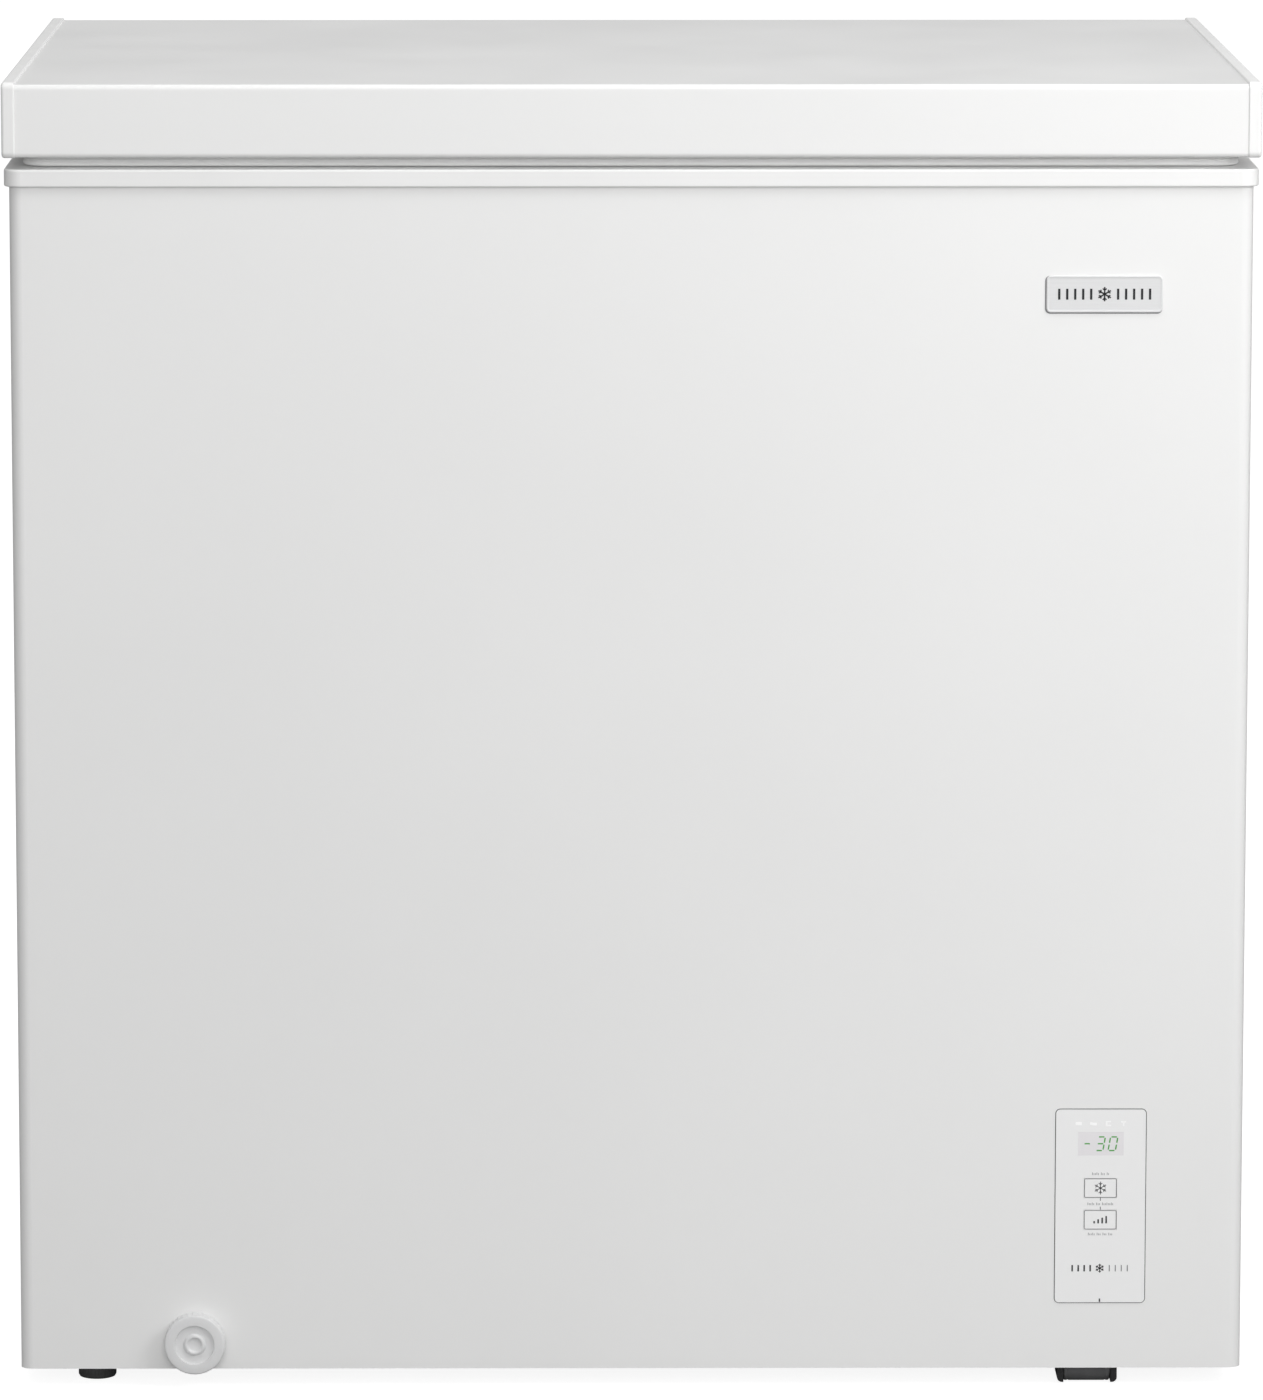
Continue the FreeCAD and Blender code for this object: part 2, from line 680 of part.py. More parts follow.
cover_slots = int(value("(bay_top - pan_top - 2 * cover_inset - 5 * vent_margin) / vent_pitch"))
cover_vents = slots(cover_slots, lambda i: box(
    (COVER_X[0] + " + vent_margin", COVER_X[1] + " - vent_margin"), THROUGH_BACK,
    (f"{COVER_Z[0]} + 3.5 * vent_margin + {i} * vent_pitch",
     f"{COVER_Z[0]} + 3.5 * vent_margin + {i} * vent_pitch + vent_slot")))
gland_hole = rod("y", (GLAND_X, GLAND_Z), "cabinet_back - over",
                 "cabinet_back + 2 * vent_sheet", "gland_r")
node("rear_cover", cut(box(COVER_X, ("cabinet_back", "cabinet_back + vent_sheet"), COVER_Z),
                       cover_vents, gland_hole, cover_holes))
node("cord_gland", facing(
    [("-2 * vent_sheet", "gland_bore"), ("-2 * vent_sheet", "gland_r"), ("vent_sheet", "gland_r"),
     ("vent_sheet", "gland_flange"), ("2.5 * vent_sheet", "gland_flange"),
     ("2.5 * vent_sheet", "gland_bore")],
    (GLAND_X, "cabinet_back", GLAND_Z)))

grille_slots = int(value("(grille_height - 2 * vent_margin) / vent_pitch"))
grille_vents = slots(grille_slots, lambda i: box(
    ("cabinet_half - vent_sheet", "cabinet_half + 2 * vent_sheet"),
    around("grille_y", "grille_length", "-vent_margin"),
    (f"grille_z - grille_height / 2 + vent_margin + {i} * vent_pitch",
     f"grille_z - grille_height / 2 + vent_margin + {i} * vent_pitch + vent_slot")))
node("side_grille", cut(box(("cabinet_half", "cabinet_half + vent_sheet"),
                            around("grille_y", "grille_length"),
                            around("grille_z", "grille_height")), grille_vents))

# ---------------------------------------------------------------- hinges
LEFT_X = "(-hinge_x)"
RIGHT_X = "(hinge_x)"
BRACKET_Z = ("rim_bottom - bracket_drop - bracket_height", "rim_bottom - bracket_drop")
BRACKET_SCREW_Z = "rim_bottom - bracket_drop - bracket_height / 2"
LEAF_SCREW_Z = "skin_bottom + leaf_screw_rise"
hinge_axis = ("hinge_y", "hinge_z")


def hinge_screws(x, z, start, depth, offset):
    return [screw(f"{x} + {side} * {offset}", z, start, depth) for side in (-1, 1)]


bracket_screws = [pair for x in (LEFT_X, RIGHT_X) for pair in hinge_screws(
    x, BRACKET_SCREW_Z, "cabinet_back + leaf_sheet", "leaf_sheet + steel", "ear_in / 2")]
bracket_holes = group(*[hole for _, hole in bracket_screws])
node("bracket_screws", group(*[body for body, _ in bracket_screws]))

leaf_screws = [pair for x in (LEFT_X, RIGHT_X) for pair in hinge_screws(
    x, LEAF_SCREW_Z, "lid_back + leaf_sheet", "leaf_sheet + steel", "ear_in / 2")]
leaf_holes = group(*[hole for _, hole in leaf_screws])
node("leaf_screws", group(*[body for body, _ in leaf_screws]))


def hinge_ear(x):
    """One ear of a hinge bracket, from the back panel out round the rim and up to the pin."""
    corners = [
        ("cabinet_back", BRACKET_Z[0]), ("cabinet_back", BRACKET_Z[1]),
        ("hinge_y - knuckle_r", BRACKET_Z[1]), ("hinge_y - knuckle_r", "hinge_z"),
        ("hinge_y + knuckle_r", "hinge_z"), ("hinge_y + knuckle_r", "hinge_z - 4 * knuckle_r"),
        ("cabinet_back + leaf_sheet", BRACKET_Z[0]),
    ]
    return joined(prism("yz", corners, *x), rod("x", hinge_axis, *x, "knuckle_r"))


def hinge_bracket(x):
    back = box((f"{x} - ear_out", f"{x} + ear_out"), ("cabinet_back", "cabinet_back + leaf_sheet"),
               BRACKET_Z)
    ears = [hinge_ear((f"{x} - ear_out", f"{x} - ear_in")),
            hinge_ear((f"{x} + ear_in", f"{x} + ear_out"))]
    pin_hole = rod("x", hinge_axis, f"{x} - ear_out - over", f"{x} + ear_out + over", "pin_r")
    return cut(joined(back, *ears), pin_hole, bracket_holes)


def hinge_leaf(x):
    knuckle_x = (f"{x} - ear_in + 2 * part_gap", f"{x}")
    flat = box((f"{x} - leaf_half", f"{x} + leaf_half"), ("lid_back", "lid_back + leaf_sheet"),
               ("skin_bottom", "skin_bottom + leaf_height"))
    neck = box(knuckle_x, ("lid_back", "lid_back + leaf_sheet"), ("hinge_z", "skin_bottom + over"))
    knuckle = rod("x", hinge_axis, *knuckle_x, "knuckle_r")
    bore = rod("x", hinge_axis, f"{x} - ear_in", f"{x} + over", "pin_r + run_fit")
    return cut(joined(flat, neck, knuckle), bore, leaf_holes)


for side_name, hinge_at in (("left", LEFT_X), ("right", RIGHT_X)):
    node("hinge_bracket_" + side_name, hinge_bracket(hinge_at))
    node("hinge_leaf_" + side_name, hinge_leaf(hinge_at))

node("hinge_pins", group(*[
    rod("x", hinge_axis, f"{x} - ear_out - pin_stub", f"{x} + ear_out + pin_stub", "pin_r")
    for x in (LEFT_X, RIGHT_X)]))
node("hinge_springs", group(*[
    cut(rod("x", hinge_axis, f"{x} + spring_start", f"{x} + ear_in - part_gap",
            "knuckle_r - part_gap"),
        rod("x", hinge_axis, f"{x}", f"{x} + ear_in", "pin_r + run_fit"))
    for x in (LEFT_X, RIGHT_X)]))

node("back_panel", cut(
    box(INSIDE_X, ("cabinet_back - steel", "cabinet_back"), ("foot_height", "shell_top")),
    cover_opening, cover_holes, bracket_holes))

# ---------------------------------------------------------------- base, feet and rollers
CHEEK_IN = "roller_width / 2 + part_gap"
CHEEK_OUT = "roller_width / 2 + part_gap + cheek"
ROLLER_YS = {"front": "roller_front_y", "rear": "roller_rear_y"}
FOOT_YS = {"front": "foot_front", "rear": "foot_rear"}


def roller_bracket(y):
    """Inverted U over a roller, its cheeks reaching down beside the wheel."""
    corners = [
        (f"roller_x - ({CHEEK_OUT})", "cheek_lift"), (f"roller_x - ({CHEEK_IN})", "cheek_lift"),
        (f"roller_x - ({CHEEK_IN})", "roller_roof"), (f"roller_x + {CHEEK_IN}", "roller_roof"),
        (f"roller_x + {CHEEK_IN}", "cheek_lift"), (f"roller_x + {CHEEK_OUT}", "cheek_lift"),
        (f"roller_x + {CHEEK_OUT}", "roller_roof + roof_sheet"),
        (f"roller_x - ({CHEEK_OUT})", "roller_roof + roof_sheet"),
    ]
    yoke = prism("xz", corners, f"{y} - roller_r + yoke_short", f"{y} + roller_r - yoke_short")
    rounded(yoke, "cheek_corner", along_at(
        "y", x=[f"roller_x - ({CHEEK_OUT})", f"roller_x + {CHEEK_OUT}"], z=["cheek_lift"]))
    return cut(yoke, rod("x", (y, "roller_r"), f"roller_x - 2 * roller_width",
                         "roller_x + 2 * roller_width", "axle_r"))


def roller(y):
    tread = ("roller_x - roller_width / 2", "roller_x + roller_width / 2")
    wheel = rod("x", (y, "roller_r"), *tread, "roller_r")
    return cut(wheel, rod("x", (y, "roller_r"), tread[0] + " - over", tread[1] + " + over",
                          "axle_r + run_fit"))


def roller_axle(y):
    return rod("x", (y, "roller_r"), f"roller_x - ({CHEEK_OUT}) + part_gap",
               f"roller_x + {CHEEK_OUT} - part_gap", "axle_r")


def foot_socket(y):
    return upright(
        [("stem_r + run_fit", "foot_disc + socket_lift"), ("socket_r", "foot_disc + socket_lift"),
         ("socket_r", "socket_top"), ("0", "socket_top"), ("0", "stem_top + stem_room"),
         ("stem_r + run_fit", "stem_top + stem_room")], ("foot_x", y, "0"))


def levelling_foot(y):
    return upright(
        [("0", "0"), ("foot_r - foot_chamfer", "0"), ("foot_r", "foot_chamfer_rise"),
         ("foot_r", "foot_disc"),
         ("stem_r", "foot_disc"), ("stem_r", "stem_top"), ("0", "stem_top")], ("foot_x", y, "0"))


node("roller_brackets", group(*[roller_bracket(y) for y in ROLLER_YS.values()]))
node("roller_axles", group(*[roller_axle(y) for y in ROLLER_YS.values()]))
for end, y in ROLLER_YS.items():
    node(end + "_roller", roller(y))
node("foot_sockets", group(*[foot_socket(y) for y in FOOT_YS.values()]))
for end, y in FOOT_YS.items():
    node(end + "_foot", levelling_foot(y))

socket_space = group(*[rod("z", ("foot_x", y), "foot_disc", "socket_top", "socket_r")
                       for y in FOOT_YS.values()])
roller_space = group(*[
    box((f"roller_x - ({CHEEK_OUT})", f"roller_x + {CHEEK_OUT}"),
        (f"{y} - roller_r - part_gap", f"{y} + roller_r + part_gap"),
        ("foot_height - over", "pan_top + over"))
    for y in ROLLER_YS.values()])
pan_outside = slab(INSIDE_X, INSIDE_Y, ("foot_height", "pan_top"), "shell_corner - steel")
pan_inside = slab(("-cabinet_half + 2 * steel", "cabinet_half - 2 * steel"),
                  ("cabinet_front + 2 * steel", "cabinet_back - 2 * steel"),
                  ("foot_height - over", "pan_top - steel"), "shell_corner - 2 * steel")
node("base_pan", cut(pan_outside, pan_inside, socket_space, roller_space, drain_hole))

# ---------------------------------------------------------------- liner and rim


def liner_body(offset, top):
    """The L-shaped tub: full depth at the left, stepped up over the machine bay at the right."""
    side = f"liner_half + {offset}"
    corners = [
        (f"-({side})", f"liner_floor - {offset}"), (f"step_edge + {offset}", f"liner_floor - {offset}"),
        (f"step_edge + {offset}", f"step_top - {offset}"), (side, f"step_top - {offset}"),
        (side, top), (f"-({side})", top),
    ]
    tub = prism("xz", corners, f"liner_front - {offset}", f"liner_back + {offset}")
    return rounded(tub, f"liner_corner + {offset}", along_at("z", x=[f"-({side})", side]))


def rounded_ring(inset, z, corner):
    """A block over the liner's outline, `inset` inside it."""
    return slab((f"-liner_half + ({inset})", f"liner_half - ({inset})"),
                (f"liner_front + ({inset})", f"liner_back - ({inset})"), z, corner)


liner_block = liner_body("liner_sheet", "ledge_bottom")
liner_space = liner_body("0", "ledge_bottom + over")
drain_bore = rod("z", ("drain_x", "drain_y"), "liner_floor - 2 * liner_sheet", "liner_floor + over",
                 "hose_bore")
node("inner_liner", cut(liner_block, liner_space, drain_bore))

skirt_block = rounded_ring("-rim_sheet", ("ledge_bottom", "rim_top"), "liner_corner + rim_sheet")
rim_block = prism("xy", rectangle(("-rim_half", "rim_half"), ("rim_front", "rim_back")),
                  "rim_bottom", "rim_top")
rounded(rim_block, "shell_corner + rim_proud", along_at("z", y=["rim_front"]))
rounded(rim_block, "rim_back_corner", along_at("z", y=["rim_back"]))
rounded(rim_block, "rim_round", lying_at("z", "rim_top", "rim_bottom"))
channel = prism("xy", rectangle(("-cabinet_half", "cabinet_half"), ("cabinet_front", "cabinet_back")),
                "rim_bottom - over", "shell_top")
rounded(channel, "shell_corner", along_at("z", y=["cabinet_front"]))
node("rim_collar", cut(
    joined(cut(rim_block, channel), skirt_block),
    rounded_ring("0", ("ledge_top", "rim_top + over"), "liner_corner"),
    rounded_ring("ledge_reach", ("ledge_bottom - over", "rim_top + over"),
                 "liner_corner - ledge_reach")))

# ---------------------------------------------------------------- refrigeration circuit
BAY_X = ("bay_edge", "cabinet_half - steel")
TUBE_END = "bay_top - tube_drop"
EVAP_X = "(liner_half + liner_sheet + evap_r + part_gap)"
EVAP_OUT = "(liner_half + liner_sheet + evap_r + part_gap + evap_jog)"
EVAP_FRONT = "liner_front - liner_sheet - evap_r - part_gap"
EVAP_BACK = "liner_back + liner_sheet + evap_r + part_gap"
COND_Y = "cabinet_back - steel - cond_r - part_gap"
COND_IN = "cabinet_half - cond_in"
COND_OUT = "cabinet_half - cond_return"
COND_LEFT = "-cabinet_half + cond_left"
LIQUID_Y = "comp_y - liquid_forward"
SUCTION_Y = "comp_y - suction_forward"
STUB_Y = "comp_y - comp_r - stub_length"
STUB_Z = "comp_bottom + stub_rise"
STUB_OUT = "stub_share * comp_r"


def evaporator_route():
    """Loops round the upper tub, each rising along the right wall; both ends drop into the bay."""
    loops = int(value("(ledge_bottom - evap_head - evap_low) / evap_pitch")) + 1
    route = [(EVAP_X, LIQUID_Y, TUBE_END), (EVAP_X, LIQUID_Y, "evap_low")]
    for loop in range(loops):
        level = f"evap_low + {loop} * evap_pitch"
        route += [(EVAP_X, EVAP_BACK, level), ("-" + EVAP_X, EVAP_BACK, level),
                  ("-" + EVAP_X, EVAP_FRONT, level), (EVAP_X, EVAP_FRONT, level)]
    route += [(EVAP_X, SUCTION_Y + " - evap_cross", level), (EVAP_OUT, SUCTION_Y, level),
              (EVAP_OUT, SUCTION_Y, TUBE_END)]
    return route


def condenser_route():
    """Level passes up the inside of the back panel, with a return down its right edge."""
    passes = 2 * int(value("((shell_top - cond_head - cond_low) / cond_pitch + 1) / 2"))
    route = [(COND_IN, COND_Y, TUBE_END)]
    for index in range(passes):
        level = f"cond_low + {index} * cond_pitch"
        ends = [(COND_IN, COND_Y, level), (COND_LEFT, COND_Y, level)]
        route += ends if index % 2 == 0 else ends[::-1]
    route[-1] = (COND_OUT, COND_Y, level)
    return route + [(COND_OUT, COND_Y, TUBE_END)]


EVAP_BEND = "liner_corner + liner_sheet + evap_r + part_gap"
evaporator = node("evaporator_coil", tube(evaporator_route(), EVAP_BEND, "evap_r"))
condenser = node("condenser_coil", tube(condenser_route(), "cond_pitch / 2 - 2 * cond_r", "cond_r"))

stubs = [rod("y", (f"comp_x + {side} * {STUB_OUT}", STUB_Z), STUB_Y, "comp_y - comp_r / 2", radius)
         for side, radius in ((1, "evap_r"), (-1, "cond_r"))]
SHOULDER_R, CROWN_R = "0.86 * comp_r", "0.5 * comp_r"
dome_outside = [
    ("0", "comp_bottom"), ("comp_r", "comp_bottom"), ("comp_r", "comp_top - comp_r / 2"),
    (SHOULDER_R, "comp_top - comp_r / 5"), (CROWN_R, "comp_top"), ("0", "comp_top")]
dome_inside = [
    ("0", "comp_base - over"), ("comp_r - comp_shell", "comp_base - over"),
    ("comp_r - comp_shell", "comp_top - comp_r / 2 - comp_shell"),
    (SHOULDER_R + " - comp_shell", "comp_top - comp_r / 5 - comp_shell"),
    (CROWN_R + " - comp_shell", "comp_top - comp_shell"), ("0", "comp_top - comp_shell")]
comp_at = ("comp_x", "comp_y", "0")
PLATE_X, PLATE_Y = "2.3 * comp_r", "2.1 * comp_r"
foot_plate = slab(around("comp_x", PLATE_X), around("comp_y", PLATE_Y),
                  ("comp_base", "comp_bottom"), "grommet_r")
node("compressor_shell", cut(joined(upright(dome_outside, comp_at), foot_plate, *stubs),
                             upright(dome_inside, comp_at)))
node("compressor_motor", rod("z", ("comp_x", "comp_y"), "comp_bottom + motor_lift",
                             "comp_bottom + motor_lift + motor_height", "motor_r"))
node("compressor_grommets", group(*[
    rod("z", (f"comp_x + {i} * comp_r", f"comp_y + {j} * 0.9 * comp_r"), "pan_top", "comp_base",
        "grommet_r")
    for i in (-1, 1) for j in (-1, 1)]))
RELAY_Y = ("comp_y - comp_r - relay_depth", "comp_y - comp_r - part_gap")
node("relay_cover", box(around("comp_x", "relay_width"), RELAY_Y,
                        ("comp_bottom + relay_lift", "comp_bottom + relay_lift + relay_height")))

SUCTION_X = f"comp_x + {STUB_OUT}"
DISCHARGE_X = f"comp_x - {STUB_OUT}"
node("suction_tube", tube(
    [(SUCTION_X, STUB_Y, STUB_Z), (SUCTION_X, SUCTION_Y, STUB_Z),
     (EVAP_OUT, SUCTION_Y, STUB_Z + " + suction_rise"), (EVAP_OUT, SUCTION_Y, TUBE_END)],
    "tube_bend", "evap_r"))
DISCHARGE_Y = STUB_Y + " - discharge_out"
DISCHARGE_Z = "bay_top - discharge_drop"
node("discharge_tube", tube(
    [(DISCHARGE_X, STUB_Y, STUB_Z), (DISCHARGE_X, DISCHARGE_Y, STUB_Z),
     (DISCHARGE_X, DISCHARGE_Y, DISCHARGE_Z), (COND_IN, COND_Y + " - discharge_turn", DISCHARGE_Z),
     (COND_IN, COND_Y, DISCHARGE_Z), (COND_IN, COND_Y, TUBE_END)], "thin_bend", "cond_r"))
DRIER_Z = "pan_top + drier_lift"
DIP_Z = DRIER_Z + " - drier_dip"
node("liquid_tube", tube(
    [(COND_OUT, COND_Y, TUBE_END), (COND_OUT, COND_Y, DIP_Z), (COND_OUT, LIQUID_Y, DIP_Z),
     ("drier_x", LIQUID_Y, DIP_Z), ("drier_x", LIQUID_Y, DRIER_Z)], "tube_bend", "cond_r"))
node("filter_drier", upright(
    [("0", "0"), ("drier_r / 2", "0"), ("drier_r", "drier_r"), ("drier_r", "drier_length - drier_r"),
     ("drier_r / 2", "drier_length"), ("0", "drier_length")], ("drier_x", LIQUID_Y, DRIER_Z)))
node("capillary_tube", tube(
    [("drier_x", LIQUID_Y, DRIER_Z + " + drier_length"),
     ("drier_x", LIQUID_Y, "bay_top - capillary_drop"),
     (EVAP_X, LIQUID_Y, "bay_top - capillary_drop"), (EVAP_X, LIQUID_Y, TUBE_END)],
    "tube_bend", "capillary_r"))

# ---------------------------------------------------------------- drain
HOSE = [("drain_x", "drain_y", "liner_floor - liner_sheet"), ("drain_x", "drain_y", "drain_z"),
        ("drain_x", "cabinet_front + collar_depth", "drain_z")]
node("drain_tube", tube(HOSE, "hose_bend", "hose_r", "hose_bore"))
hose_space = tube(HOSE, "hose_bend", "hose_r")
node("drain_collar", facing(
    [("0", "spigot_r"), ("0", "collar_r"), ("collar_depth", "collar_r"),
     ("collar_depth", "hose_bore"), ("collar_depth - collar_floor", "hose_bore"),
     ("collar_depth - collar_floor", "spigot_r")], ("drain_x", "cabinet_front", "drain_z")))
SPIGOT_START = "plug_reach - part_gap"
node("drain_plug", facing(
    [("plug_dish", "0"), ("plug_dish", "plug_ring_in"), ("plug_dish / 4", "plug_ring_in"),
     ("plug_dish / 4", "plug_ring_r"), ("plug_dish", "plug_ring_r"), ("plug_dish", "plug_dish_r"),
     ("0", "plug_dish_r"), ("0", "plug_r - plug_dish"), ("plug_dish", "plug_r"),
     (SPIGOT_START, "plug_r"), (SPIGOT_START, "spigot_r - slide_fit"),
     (SPIGOT_START + " + spigot_length", "spigot_r - slide_fit"),
     (SPIGOT_START + " + spigot_length", "0")],
    ("drain_x", "cabinet_front - plug_reach", "drain_z")))
node("drain_stopper", upright(
    [("0", "-2 * stopper_height"), ("hose_bore - slide_fit", "-2 * stopper_height"),
     ("hose_bore - slide_fit", "part_gap"), ("stopper_r", "part_gap"),
     ("stopper_r - stopper_chamfer", "stopper_height"), ("0", "stopper_height")],
    ("drain_x", "drain_y", "liner_floor")))

# ---------------------------------------------------------------- bay wall and foam
bay_space = box(BAY_X, INSIDE_Y, ("pan_top", "bay_top"))
bay_corners = [
    ("bay_edge", "pan_top"), ("bay_edge + steel", "pan_top"), ("bay_edge + steel", "bay_top - steel"),
    (BAY_X[1], "bay_top - steel"), (BAY_X[1], "bay_top"), ("bay_edge", "bay_top")]
inside = inside_block(("pan_top", "shell_top"))
node("bay_wall", cut(shared(prism("xz", bay_corners, *INSIDE_Y), inside), evaporator, condenser))
node("foam_insulation", cut(inside, liner_block, skirt_block, bay_space, evaporator, condenser,
                            hose_space, drain_hole, socket_space))

# ---------------------------------------------------------------- controls
HOUSING_X = around("panel_x", "fascia_width", "-housing_in")
HOUSING_Z = around("panel_z", "fascia_height", "-housing_in")
HOUSING_IN_X = around("panel_x", "fascia_width", "-housing_in - housing_wall")
HOUSING_IN_Z = around("panel_z", "fascia_height", "-housing_in - housing_wall")
HOUSING_BACK = "fascia_back + housing_depth"
WINDOW_X = around("panel_x", "window_width")
WINDOW_Z = around("panel_z + window_rise", "window_height")
KEY_ZS = {"upper": "panel_z + key_upper", "lower": "panel_z + key_lower"}
FASCIA_Y = ("fascia_front", "fascia_back")
FASCIA_CUT_Y = ("fascia_front - over", "fascia_back + over")
KEY_BACK = "fascia_back - 2 * part_gap"

fascia_blank = plate(around("panel_x", "fascia_width"), around("panel_z", "fascia_height"), FASCIA_Y,
                     "fascia_corner")
key_holes = [box(around("panel_x", "key_width", "key_gap"), FASCIA_CUT_Y,
                 around(z, "key_height", "key_gap")) for z in KEY_ZS.values()]
node("control_fascia", cut(fascia_blank, box(WINDOW_X, FASCIA_CUT_Y, WINDOW_Z), *key_holes))
node("display_window", box(WINDOW_X, ("fascia_front", "fascia_front + fascia_sheet / 2"), WINDOW_Z))
node("digit_display", box(around("panel_x", "window_width", "-housing_in"),
                          ("fascia_back", "board_front"),
                          around("panel_z + window_rise", "window_height", "-housing_in")))
node("control_housing", cut(box(HOUSING_X, ("fascia_back", HOUSING_BACK), HOUSING_Z),
                            box(HOUSING_IN_X,
                                ("fascia_back - over", HOUSING_BACK + " - housing_wall"),
                                HOUSING_IN_Z)))
node("display_board", box(HOUSING_IN_X, ("board_front", "board_front + board_sheet"), HOUSING_IN_Z))
node("key_switches", group(*[
    box(around("panel_x", "switch_width"), ("switch_front", "board_front"),
        around(z, "switch_width"))
    for z in KEY_ZS.values()]))
for name, z in KEY_ZS.items():
    cap = box(around("panel_x", "key_width"), ("fascia_front", KEY_BACK), around(z, "key_height"))
    stem = rod("y", ("panel_x", z), KEY_BACK, "switch_front - key_travel - part_gap", "key_stem_r")
    node(name + "_key", joined(cap, stem))
node("wiring_loom", tube(
    [("panel_x", HOUSING_BACK, "panel_z"), ("panel_x", HOUSING_BACK + " + loom_run", "panel_z"),
     ("comp_x", RELAY_Y[0] + " - loom_run", "comp_bottom + loom_rise"),
     ("comp_x", RELAY_Y[0], "comp_bottom + loom_rise")], "loom_bend", "loom_r"))
node("badge_plate", plate(around("badge_x", "badge_width"), around("badge_z", "badge_height"),
                          ("cabinet_front - badge_sheet", "cabinet_front"), "badge_corner"))

# ---------------------------------------------------------------- lid


def skin_outline():
    """Section of the lid skin: front fold, top, rear fold and the return lips."""
    return [
        ("skin_front", "skin_bottom"), ("skin_front", "skin_top"), ("lid_back", "skin_top"),
        ("lid_back", "skin_bottom"), ("lid_back - skin_lip", "skin_bottom"),
        ("lid_back - skin_lip", "skin_bottom + steel"), ("lid_back - steel", "skin_bottom + steel"),
        ("lid_back - steel", "skin_top - steel"), ("skin_front + steel", "skin_top - steel"),
        ("skin_front + steel", "skin_bottom + steel"),
        ("skin_front + skin_lip", "skin_bottom + steel"), ("skin_front + skin_lip", "skin_bottom"),
    ]


SKIN_X = ("-skin_half", "skin_half")
skin = prism("yz", skin_outline(), *SKIN_X)
rounded(skin, "skin_corner", along_at("x", y=["skin_front", "lid_back"], z=["skin_top"]))
rounded(skin, "skin_corner - steel",
        along_at("x", y=["skin_front + steel", "lid_back - steel"], z=["skin_top - steel"]))
rounded(skin, "lip_bend", along_at("x", y=["skin_front"], z=["skin_bottom"]))
rounded(skin, "lip_bend - steel",
        along_at("x", y=["skin_front + steel"], z=["skin_bottom + steel"]))
node("lid_skin", cut(skin, leaf_holes))


def end_cap(inner, outer):
    """A cap over one end of the lid, rounded at its corners and along its outer edges."""
    low, high = (outer, inner) if outer.startswith("-") else (inner, outer)
    cap = prism("yz", rectangle(("lid_front", "lid_back"), ("lid_bottom", "total_height")), low, high)
    rounded(cap, "cap_corner", along("x"))
    rounded(cap, "cap_round", lying_at("x", outer))
    return rounded(cap, "cap_inner_round", lying_at("x", inner))


node("lid_cap_left", end_cap("-skin_half", "-lid_width / 2"))
node("lid_cap_right", end_cap("skin_half", "lid_width / 2"))

PANEL_Y = ("skin_front + skin_lip", "lid_back - skin_lip")
PANEL_TOP = "skin_bottom + panel_sheet"
FIELD_BOTTOM = "skin_bottom - plug_drop"
field = rounded_ring("plug_inset", (FIELD_BOTTOM, PANEL_TOP), "plug_corner")
field_foam = rounded_ring("plug_inset + panel_sheet",
                          (FIELD_BOTTOM + " + panel_sheet", PANEL_TOP), "plug_corner - panel_sheet")
node("lid_panel", cut(joined(box(SKIN_X, PANEL_Y, ("skin_bottom", PANEL_TOP)), field), field_foam))
foam_top = prism("yz", rectangle(("skin_front + steel", "lid_back - steel"),
                                 (PANEL_TOP, "skin_top - steel")), *SKIN_X)
rounded(foam_top, "skin_corner - steel", along_at("x", z=["skin_top - steel"]))
node("lid_foam", cut(joined(foam_top, field_foam), skin))
node("lid_gasket", cut(
    slab(("-rim_half + seal_side", "rim_half - seal_side"),
         ("rim_front + seal_front", "rim_back - seal_front"),
         ("rim_top + part_gap", "skin_bottom"), "seal_corner"),
    slab(("-rim_half + seal_side + seal_width", "rim_half - seal_side - seal_width"),
         ("rim_front + seal_front + seal_width", "rim_back - seal_front - seal_width"),
         ("rim_top", "skin_bottom + over"), "seal_corner / 2")))

# ---------------------------------------------------------------- basket
BASKET_X = ("basket_left", "basket_right")
BASKET_Y = ("basket_front", "basket_back")
WALL_Z = ("basket_floor + basket_wire", "basket_seat")


def openings(low, high, sheet_axis, across, up):
    """Boxes that leave a grid of wires between them; across and up are (low, high) pairs."""
    columns = max(1, round((value(across[1]) - value(across[0])) / value("basket_mesh")))
    rows = max(1, round((value(up[1]) - value(up[0])) / value("basket_mesh")))
    holes = []
    for column in range(columns):
        for row in range(rows):
            spans = []
            for count, index, (start, end) in ((columns, column, across), (rows, row, up)):
                pitch = f"(({end}) - ({start}) - basket_wire) / {count}"
                spans.append((f"{start} + basket_wire + {index} * {pitch}",
                              f"{start} + ({index} + 1) * {pitch}"))
            through = (f"{low} - over", f"{high} + over")
            order = {"x": (through, *spans), "y": (spans[0], through, spans[1]),
                     "z": (*spans, through)}[sheet_axis]
            holes.append(box(*order))
    return group(*holes)


def floor_grille():
    z = ("basket_floor", "basket_floor + basket_wire")
    return cut(box(BASKET_X, BASKET_Y, z), openings(*z, "z", BASKET_X, BASKET_Y))


def long_side(y, frame_y):
    """A front or back grille with the flat top bar that slides on the ledge."""
    grille = cut(box(BASKET_X, y, WALL_Z), openings(*y, "y", BASKET_X, WALL_Z))
    return joined(grille, box(BASKET_X, frame_y, ("basket_seat", "basket_top")))


def short_side(x):
    inner = ("basket_front + basket_wire", "basket_back - basket_wire")
    grille = cut(box(x, inner, WALL_Z), openings(*x, "x", inner, WALL_Z))
    return joined(grille, box(x, inner, ("basket_seat", "basket_top")))


